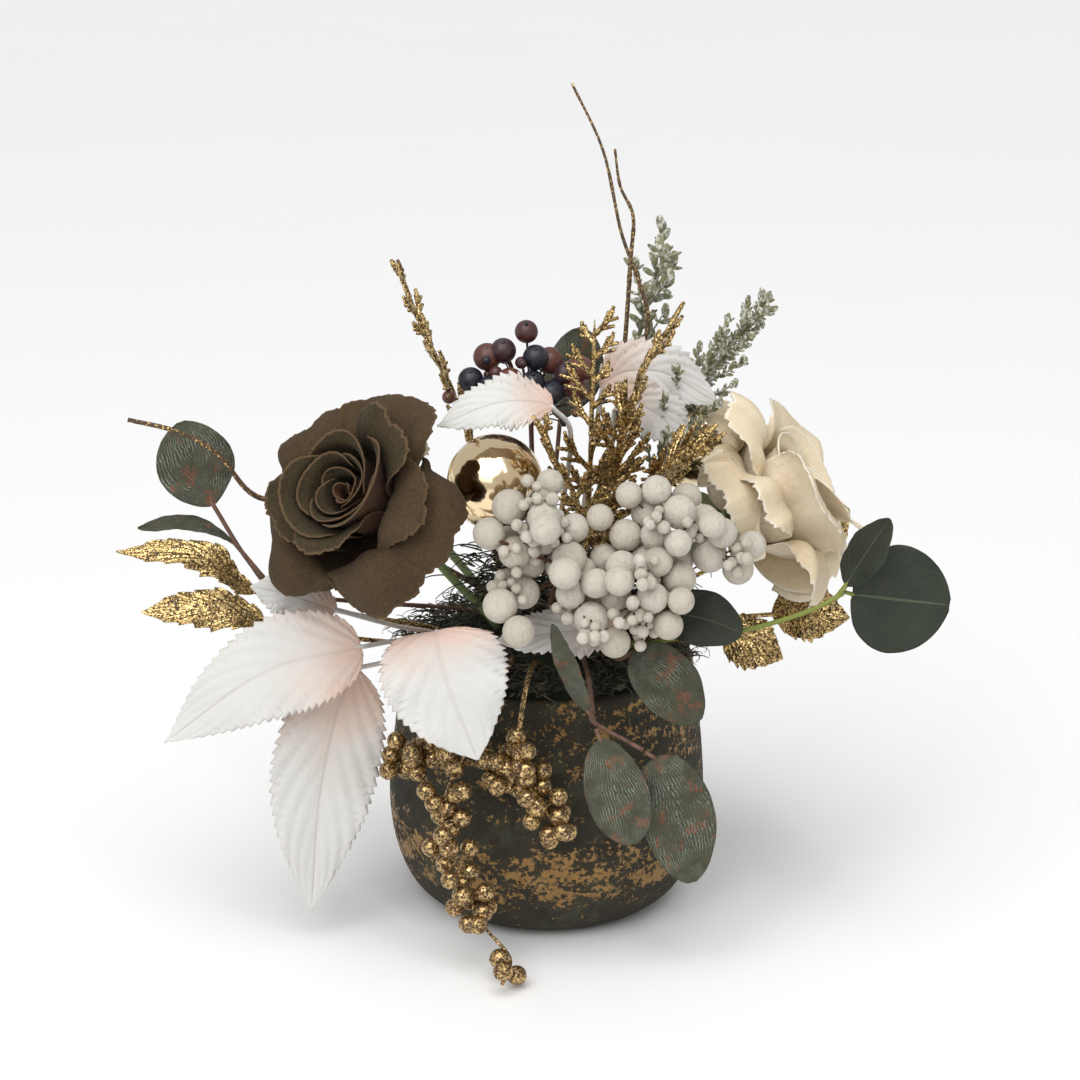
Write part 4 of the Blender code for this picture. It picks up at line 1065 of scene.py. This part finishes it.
# %% Cedar
def add_scaly(made, path, radius, beads):
    """A tube with a saw-like radius: it swells once for each scale and ends in a blunt tip."""
    t = np.linspace(0, 1, len(path))
    swell = 1 + 0.42 * np.abs(np.sin(np.pi * beads * t))
    taper = 1 - 0.35 * t - 0.55 * smoothstep(0.93, 1.0, t)
    add_tube(made, path, radius * swell * taper, 7)


def add_cedar(made, route, twigs, twig_length, first, flat=(0.9, 0.35)):
    line = smooth(route, 10)
    add_scaly(made, line, 1.15, 26)
    side, up, ahead = frames(line)
    for k in range(twigs):
        share = first + (0.97 - first) * k / (twigs - 1)
        i = min(int(share * (len(line) - 1)), len(line) - 2)
        sign = 1 if k % 2 else -1
        out = unit(side[i] * sign * flat[0] + up[i] * flat[1] * math.sin(2.4 * k))
        reach = twig_length * (1.30 - 0.70 * share) * (0.75 + 0.5 * math.sin(1.9 * k) ** 2)
        t = np.linspace(0, 1, 13)[:, None]
        path = line[i] + (ahead[i] * 0.75 * t + out * (0.85 * t - 0.25 * t**2)) * reach
        add_scaly(made, path, 1.05, 7)
        for j, at in enumerate((3, 5, 7, 9)):
            across = unit(np.cross(ahead[i], np.cross(out, ahead[i])) + 0.0001)
            lean = unit(ahead[i] * (1.0 if j % 2 else 0.25) + across * (0.35 if j % 2 else 1.0))
            small = path[at] + lean * reach * (0.48 - 0.06 * j) * t
            add_scaly(made, small, 0.9, 4)


def cedar(name, routes, twigs, twig_length, node, first=0.3):
    made = Surfaces()
    for route in routes:
        add_cedar(made, route[1:], twigs, twig_length, first)
        add_tube(made, smooth(route[:3]), 1.2, 7)
    piece(name, made, GLITTER, [node])


cedar("cedar_far_left", [
    rooted(160, 20, [(-28, 3, 190), (-40, 0, 232), (-53, 0, 261), (-66, 0, 294)]),
], 16, 17, "gold_cedar_far_left", 0.35)
cedar("cedar_tall", [
    rooted(300, 14, [(15, -26, 170), (18, -34, 203), (19, -34, 241), (20, -30, 275)]),
    np.array([(14, -28, 170), (17, -36, 190), (27, -42, 208), (31, -46, 228), (33, -46, 244)], float),
    np.array([(14, -28, 170), (20, -34, 182), (40, -44, 198), (48, -48, 212), (58, -48, 226)], float),
], 20, 20, "gold_cedar_tall", 0.2)
cedar("cedar_right", [
    rooted(318, 26, [(23, -31, 172), (27, -37, 205), (39, -34, 249), (56, -28, 279)]),
    np.array([(22, -34, 180), (24, -36, 190), (38, -48, 205), (52, -56, 217), (68, -58, 230)], float),
], 18, 19, "gold_cedar_right", 0.15)
cedar("cedar_low_left", [
    rooted(278, 25, [(8, -42, 165), (13, -52, 198), (3, -57, 221), (-3, -59, 238)]),
], 16, 15, "gold_cedar_low_left")

# %% [markdown]
# ## Willow twigs
# A long twig and a short one stand at the back, and one leans out to the left. They taper, and a power of a
# sine thickens the tall ones at their knots. Modelled buds could be added, but none stand out on these.

# %% Willow twigs
willow = Surfaces()
main_run = rooted(50, 14, [(24, 10, 190), (35, 9, 235), (44, 11, 262), (40, 10, 282), (32, 10, 304),
                           (24, 11, 339), (10.5, 10, 368)])
short_run = [(31, 9.5, 222), (34, 15, 250), (36.6, 20, 290), (37.4, 20, 309), (31.7, 22, 322),
             (29.3, 22, 338)]
for route, thick, thin in ((main_run, 1.5, 0.5), (short_run, 1.2, 0.5)):
    line = smooth(route, 12)
    knots = 1 + 0.25 * np.maximum(0, np.sin(np.linspace(0, 40, len(line)))) ** 6
    add_tube(willow, line, np.linspace(thick, thin, len(line)) * knots, 8)
piece("willow_tall", willow, BARK, ["willow_twigs_tall"])
left_willow = Surfaces()
line = smooth(rooted(175, 20, [(-66, -2, 166), (-108, -10, 186), (-128, -18, 194), (-142, -24, 214),
                               (-158, -28, 225), (-179, -30, 231)]), 12)
add_tube(left_willow, line, np.linspace(1.5, 1.0, len(line)), 8)
piece("willow_left", left_willow, BARK, ["willow_twig_left"])

# %% [markdown]
# ## Frosted sprigs
# The two pale sprigs carry small thick leaves in pairs. Each leaf is a stretched ball of a few dozen faces
# turned out from the twig, which is enough at this size and keeps the mesh light.

# %% Frosted boxwood and pine
def add_leaflets(made, line, spacing, length, wide, lean):
    """Pairs of stretched balls, each pair turned a little further round the twig than the last."""
    side, up, ahead = frames(line)
    gaps = np.concatenate([[0], np.cumsum(np.linalg.norm(np.diff(line, axis=0), axis=1))])
    for k, distance in enumerate(np.arange(spacing, gaps[-1], spacing)):
        i = int(np.searchsorted(gaps, distance)) - 1
        for sign in (1, -1):
            turn = 0.9 * k
            out = sign * (side[i] * math.cos(turn) + up[i] * math.sin(turn))
            run = unit(out + ahead[i] * lean)
            flat = unit(np.cross(run, ahead[i]))
            turned = np.stack([flat, np.cross(run, flat), run], 1)
            reach = length * rng.uniform(0.75, 1.1)
            middle = line[i] + run * reach * 0.55
            add_ball(made, middle, reach / 2, 8, 6, rng.uniform(), (wide, 0.45 * wide, 1), turned)
    add_ball(made, line[-1], length * 0.4, 8, 6, 0.5, (0.6, 0.6, 1.2))


def frosted(name, route, twigs, twig_length, taper, node, first, spacing, length, wide, lean):
    """A main run with leaflets, and side twigs left and right that carry the same leaflets."""
    made = Surfaces()
    add_tube(made, smooth(route), 1.1, 7, 0.2)
    line = smooth(route[2:], 12)
    side, up, ahead = frames(line)
    add_leaflets(made, line[int(first * len(line)) :], spacing, length, wide, lean)
    for k in range(twigs):
        share = first + (0.9 - first) * k / (twigs - 1)
        i = int(share * (len(line) - 1))
        sign = 1 if k % 2 else -1
        out = unit(side[i] * sign + up[i] * 0.5 * math.sin(1.7 * k) + ahead[i] * 0.9)
        t = np.linspace(0, 1, 10)[:, None]
        path = line[i] + out * twig_length * (1.3 - taper * share) * t + ahead[i] * 3 * t**2
        add_tube(made, path, np.linspace(0.7, 0.4, 10), 6, 0.2)
        add_leaflets(made, path, spacing, length, wide, lean)
    piece(name, made, FROSTED, [node])


frosted("boxwood_frosted", rooted(65, 26, [(28, 30, 200), (41, 34, 252), (46, 35, 270), (53, 36, 290)]),
        8, 27, 0.7, "frosted_boxwood", 0.15, 6.6, 8.0, 0.5, 0.9)
frosted("pine_frosted", rooted(12, 24, [(44, 3, 180), (56, 6, 218), (78, 13, 250), (98, 18, 273)]),
        30, 40, 1.15, "frosted_pine", 0.05, 3.0, 4.8, 0.55, 1.5)

# %% [markdown]
# ## Leaves
# A leaf is a midrib with an outline on each side. The outline widens and closes along the midrib, teeth are
# a saw wave added at its edge, and the blade folds a little at the rib and hangs at its edges. A petiole tube
# runs from the foam into the blade and becomes the raised rib behind it.

# %% Leaf function
def leaf(name, routes, material, nodes, stem_r=1.1, stems=()):
    """Each route is (points, blade_at, widest, width, facing, teeth, depth, droop, blunt, wave): the blade
    starts at the point numbered blade_at and is widest at that share of its length."""
    made = Surfaces()
    for route in stems:
        add_tube(made, smooth(route), stem_r, 8, 1.0)
    for points, blade_at, widest, width, facing, teeth, depth, droop, blunt, wave in routes:
        points = np.asarray(points, float)
        rows, columns = (150, 29) if teeth else (80, 25)
        whole = smooth(points[max(blade_at - 1, 0) :], rows - 1)
        blade = whole[(rows - 1) if blade_at else 0 :]
        blade = blade[np.linspace(0, len(blade) - 1, rows).astype(int)]
        v, u = np.meshgrid(np.linspace(0, 1, rows), np.linspace(-1, 1, columns), indexing="ij")
        bent = np.clip(v, 0.004, 0.996) ** (math.log(0.5) / math.log(widest))
        outline = np.sin(np.pi * bent) ** (blunt + (0.35 * v**2 if teeth else 0))
        half = np.maximum(width / 2 * outline, 0.5)
        saw = depth * ((v * teeth + 0.12 * np.sin(9 * v)) % 1.0) * smoothstep(0.35, 1.0, np.abs(u)) * outline
        half = half + saw
        ahead = np.gradient(blade, axis=0)
        ahead /= np.linalg.norm(ahead, axis=1, keepdims=True)
        wanted = unit(np.cross(unit(points[-1] - points[blade_at]), facing))
        side = wanted - ahead * (ahead @ wanted)[:, None]
        side /= np.linalg.norm(side, axis=1, keepdims=True)
        up = np.cross(side, ahead)
        vein = -1.6 * np.abs(np.sin(np.pi * (7 * v - 3.0 * np.abs(u)))) ** 0.7 * np.abs(u) ** 0.7 * outline
        rise = -droop * half * u**2 + 0.10 * half * np.abs(u) - vein * (1 if teeth else 0.3)
        rise = rise + wave * np.abs(u) ** 2 * np.sin(7 * v * np.pi * 0.7 + 2 * np.sign(u)) * outline
        grid = blade[:, None] + side[:, None] * (u * half)[..., None] + up[:, None] * rise[..., None]
        add_sheet(made, grid, 0.55)
        petiole = smooth(points[: blade_at + 1]) if blade_at else blade[:1]
        rib = np.concatenate([petiole, blade[4:-6:6] - up[4:-6:6] * 0.5])
        taper = np.linspace(stem_r * 0.8, 0.25, len(rib) - len(petiole))
        add_tube(made, rib, np.concatenate([np.full(len(petiole), stem_r), taper]), 8, 1.0)
    piece(name, made, material, nodes)


def untoothed(points, blade_at, widest, width, facing, droop=0.12, blunt=0.5, wave=0.8):
    return points, blade_at, widest, width, facing, 0, 0, droop, blunt, wave


def velvet(name, root, waypoints, blade_at, widest, width, facing, teeth, blunt=0.62):
    route = (rooted(*root, waypoints), blade_at, widest, width, facing, teeth, 2.4, 0.12, blunt, 2.0)
    leaf(name + "_velvet", [route], BLUSH, [name])


# %% [markdown]
# ## Blush velvet leaves
# Eight big leaves hang and stand round the roses. Copies of one leaf, bent by a lattice, would be quicker to
# place; with a midrib of its own each leaf bends where its neighbours leave it room.

# %% Blush velvet leaves
velvet("blush_leaf_long", (207, 44),
       [(-60, -40, 135), (-79, -66, 141), (-120, -68, 130), (-165, -60, 95)],
       3, 0.38, 40, (-0.1, -0.9, 0.35), 24)
velvet("blush_leaf_hanging", (220, 46),
       [(-58, -49, 130), (-82, -57, 128), (-97, -60, 78), (-104, -60, 15)],
       3, 0.42, 44, (0.15, -1.0, 0.1), 26)
velvet("blush_leaf_front", (234, 46),
       [(-38, -66, 135), (-46, -88, 156), (-41, -98, 136), (-29, -101, 104)],
       3, 0.40, 50, (0.05, -1.0, 0.25), 20, 0.5)
velvet("blush_leaf_behind_rose", (195, 46),
       [(-66, -26, 136), (-91, -44, 150), (-109, -46, 157), (-127, -48, 162)],
       3, 0.45, 20, (0, -0.9, 0.4), 14)
velvet("blush_leaf_above_ball", (275, 12),
       [(5, -24, 180), (10, -38, 226), (2, -46, 241), (-20, -51, 244), (-46, -55, 235)],
       4, 0.42, 22, (0, -0.75, 0.65), 18)
velvet("blush_leaf_top_right", (340, 12),
       [(17, -2, 190), (24, 0, 236), (47, -6, 246), (75, -10, 232)],
       3, 0.42, 26, (0, -0.9, 0.4), 18)
velvet("blush_leaf_mid_right", (330, 20),
       [(23, -14, 185), (29, -15, 231), (47, -17, 230), (61, -20, 214)],
       3, 0.45, 22, (-0.2, -0.7, 0.6), 14)
velvet("blush_leaf_under_berries", (279, 46),
       [(18, -55, 140), (30, -60, 147), (6, -72, 150), (-22, -82, 149)],
       3, 0.45, 26, (0.1, -0.45, 0.9), 18)

# %% [markdown]
# ## Glittered leaves
# The glittered leaves have a few long teeth and the same midrib and ribs, so the same function makes them.
# A table with one row for each leaf keeps the numbers apart from the code.

# %% Glittered leaves
GOLD_LEAVES = {
    "gold_leaf_left_upper": (
        (186, 46), [(-84, -17, 138), (-127, -32, 154), (-150, -34, 171), (-186, -34, 173)],
        3, 0.45, 14, (0, -0.6, 0.8), 0.5,
    ),
    "gold_leaf_left_lower": (
        (200, 38), [(-60, -28, 129), (-106, -46, 141), (-122, -50, 148), (-146, -54, 154), (-173, -56, 153)],
        4, 0.45, 16, (0, -0.75, 0.65), 0.5,
    ),
    "gold_leaf_right_upper": (
        (22, 42), [(76, 36, 142), (108, 48, 150), (124, 50, 158), (140, 50, 166)],
        3, 0.5, 32, (0, -1, 0.2), 0.4,
    ),
    "gold_leaf_right_middle": (
        (2, 46), [(76, 6, 128), (102, 9, 129), (118, 10, 130), (137, 10, 127)],
        3, 0.45, 26, (0, -0.8, 0.6), 0.5,
    ),
    "gold_leaf_right_lower": (
        (336, 46), [(62, -28, 130), (76, -32, 134), (89, -34, 131), (103, -35, 124)],
        3, 0.45, 22, (0, -0.85, 0.5), 0.5,
    ),
}
for node, (root, waypoints, blade_at, widest, width, facing, blunt) in GOLD_LEAVES.items():
    route = (rooted(*root, waypoints), blade_at, widest, width, facing, 7, 1.8, 0.16, blunt + 0.1, 1.8)
    leaf(node + "_glittered", [route], GLITTER, [node])

# %% [markdown]
# ## Foiled felt leaves
# Soft felt leaves with copper foil rise at the left and the back, and a trail of them hangs over the front
# rim. They are the same leaf without teeth. One stem can carry several pieces: the stem is made with one of
# them, and the others start on it.

# %% Foiled felt leaves at the left and the back
copper_run = rooted(180, 32, [(-80, -9, 141), (-117, -20, 150), (-131, -19, 164), (-146, -14, 188),
                              (-153, -13, 206), (-159, -12, 225)])
olive_run = [(-124, -22, 157), (-137, -16, 171), (-157, -12, 179), (-180, -10, 176)]
rear_run = rooted(95, 24, [(2, 30, 170), (6, 30, 215), (12, 30, 236), (16, 29, 257)])
leaf("copper_and_olive_leaves", [
    untoothed(copper_run, 5, 0.5, 34, (0.2, -1, 0), blunt=0.55),
    untoothed(olive_run, 1, 0.6, 9, (0, -0.5, 0.85), 0.1, 0.6, 0.4),
], FOILED, ["copper_leaf_spray"], 1.0)
leaf("olive_leaf_rear", [untoothed(rear_run, 3, 0.5, 26, (0, -1, 0.2))],
     FOILED, ["olive_leaf_back"], 1.0)

# %% Ribbed leaves over the front rim
trail_run = rooted(289, 42, [(17, -70, 131), (18, -84, 128), (19, -90, 121), (20, -93, 117), (40, -93, 105)])
narrow_run = [(19.5, -93, 118), (17, -98, 124), (9, -103, 144), (2, -107, 166)]
oval_run = [(20, -94.5, 115.1), (22, -96, 111), (29, -98, 88), (36, -98, 64)]
large_run = [(40.8, -93, 104.1), (45, -92, 101), (55, -89, 74), (62, -88, 42)]
upper_run = rooted(303, 44, [(30, -62, 134), (36, -80, 144), (50, -84, 132), (64, -83, 114)])
leaf("ribbed_trail_stem", [untoothed(narrow_run, 1, 0.5, 10, (-0.4, -0.9, 0.1), 0.1, 0.6, 0.5)],
     FOILED, ["frosted_trail_stem"], 1.0, [trail_run])
leaf("ribbed_leaf_oval", [untoothed(oval_run, 1, 0.55, 27, (-0.1, -1, 0.1))],
     FOILED, ["frosted_leaf_oval"], 0.9)
leaf("ribbed_leaf_large", [untoothed(large_run, 1, 0.5, 32, (0.15, -1, 0.1))],
     FOILED, ["frosted_leaf_large"], 0.9)
leaf("ribbed_leaf_upper", [untoothed(upper_run, 3, 0.5, 27, (0.3, -0.9, 0.3))],
     FOILED, ["frosted_leaf_upper"], 1.0)

# %% [markdown]
# ## Eucalyptus
# Matte dark leaves with fine veins stand at the right. The branch carries an upright leaf of its own, and the
# round leaf starts at its end.

# %% Eucalyptus
eucalyptus_run = rooted(322, 46, [(60, -50, 140), (84, -64, 148), (110, -66, 157), (125, -63, 164)])
upright_run = [(122, -63.5, 162), (126, -64, 168), (134, -62, 181), (144, -60, 196)]
round_run = [(125.8, -62.8, 164.5), (129, -61, 163), (148, -59, 160), (171, -58, 157)]
low_run = rooted(312, 46, [(41, -49, 140), (47, -60, 153), (64, -68, 155), (82, -71, 149)])
leaf("eucalyptus_branch", [untoothed(upright_run, 1, 0.5, 24, (-0.85, -0.5, 0.3), 0.1, 0.6, 0.5)],
     EUCALYPTUS, ["eucalyptus_stem"], 1.1, [eucalyptus_run])
leaf("eucalyptus_round", [untoothed(round_run, 1, 0.5, 47, (0, -1, 0.15), 0.1)],
     EUCALYPTUS, ["eucalyptus_leaf_round"], 0.9)
leaf("eucalyptus_low", [untoothed(low_run, 3, 0.5, 25, (0, -0.8, 0.6), 0.1)],
     EUCALYPTUS, ["eucalyptus_leaf_low"], 1.0)

# %% [markdown]
# ## Floor, light and camera
# The pot stands on a pale floor. A wide soft sun and a pale world light it evenly. Two long strips overhead
# and a front panel add the bright streaks in the polished ball; an environment map could give them, but these
# can be placed. The camera looks slightly down, from far enough away that nothing bulges.

# %% Stage
def floor_material():
    made = Finish("pale_floor", roughness=0.7)
    made.colour(made.mix(made.noise(3, 3), (0.93, 0.93, 0.93), (0.95, 0.95, 0.95)))
    made.bump(made.noise(300, 2), 0.05, 0.2)
    return made.material


REACH = 30.0
corners = [(-REACH, -REACH, 0), (REACH, -REACH, 0), (REACH, REACH, 0), (-REACH, REACH, 0)]
floor_mesh = bpy.data.meshes.new("floor")
floor_mesh.from_pydata(corners, [], [(0, 1, 2, 3)])
floor = bpy.data.objects.new("floor", floor_mesh)
floor_mesh.materials.append(floor_material())
bpy.context.scene.collection.objects.link(floor)


def panel(name, place, target, size, size_y, power, colour=(1, 1, 1)):
    data = bpy.data.lights.new(name, "AREA")
    data.shape = "RECTANGLE"
    data.size, data.size_y, data.energy, data.color = size, size_y, power, colour
    lamp = bpy.data.objects.new(name, data)
    lamp.location = place
    lamp.rotation_euler = (Vector(place) - Vector(target)).to_track_quat("Z", "Y").to_euler()
    bpy.context.scene.collection.objects.link(lamp)


MIDDLE = (0, 0, 0.18)
panel("front_panel", (-0.7, -1.5, 1.1), MIDDLE, 1.2, 0.9, 4.0)
panel("strip_left", (-0.35, -0.6, 1.5), MIDDLE, 0.12, 1.4, 2.8)
panel("strip_right", (0.35, -0.6, 1.5), MIDDLE, 0.12, 1.4, 2.8)
sky = bpy.data.lights.new("broad_sky", "SUN")
sky.energy, sky.angle = 1.45, math.radians(60)
sky_lamp = bpy.data.objects.new("broad_sky", sky)
sky_lamp.rotation_euler = (math.radians(32), math.radians(-14), 0)
bpy.context.scene.collection.objects.link(sky_lamp)
world = bpy.data.worlds.new("studio")
world.use_nodes = True
world.node_tree.nodes["Background"].inputs["Color"].default_value = (1.0, 1.0, 1.0, 1)
world.node_tree.nodes["Background"].inputs["Strength"].default_value = 0.56
bpy.context.scene.world = world
bpy.context.scene.view_settings.view_transform = "Standard"

lens = bpy.data.cameras.new("camera")
lens.lens, lens.sensor_width = 90, 36
camera = bpy.data.objects.new("camera", lens)
camera.location = (-0.0031, -1.1413, 0.5381)
camera.rotation_euler = (math.radians(72), 0, 0)
bpy.context.scene.collection.objects.link(camera)
bpy.context.scene.camera = camera
print(len(bpy.data.lights), "lights")
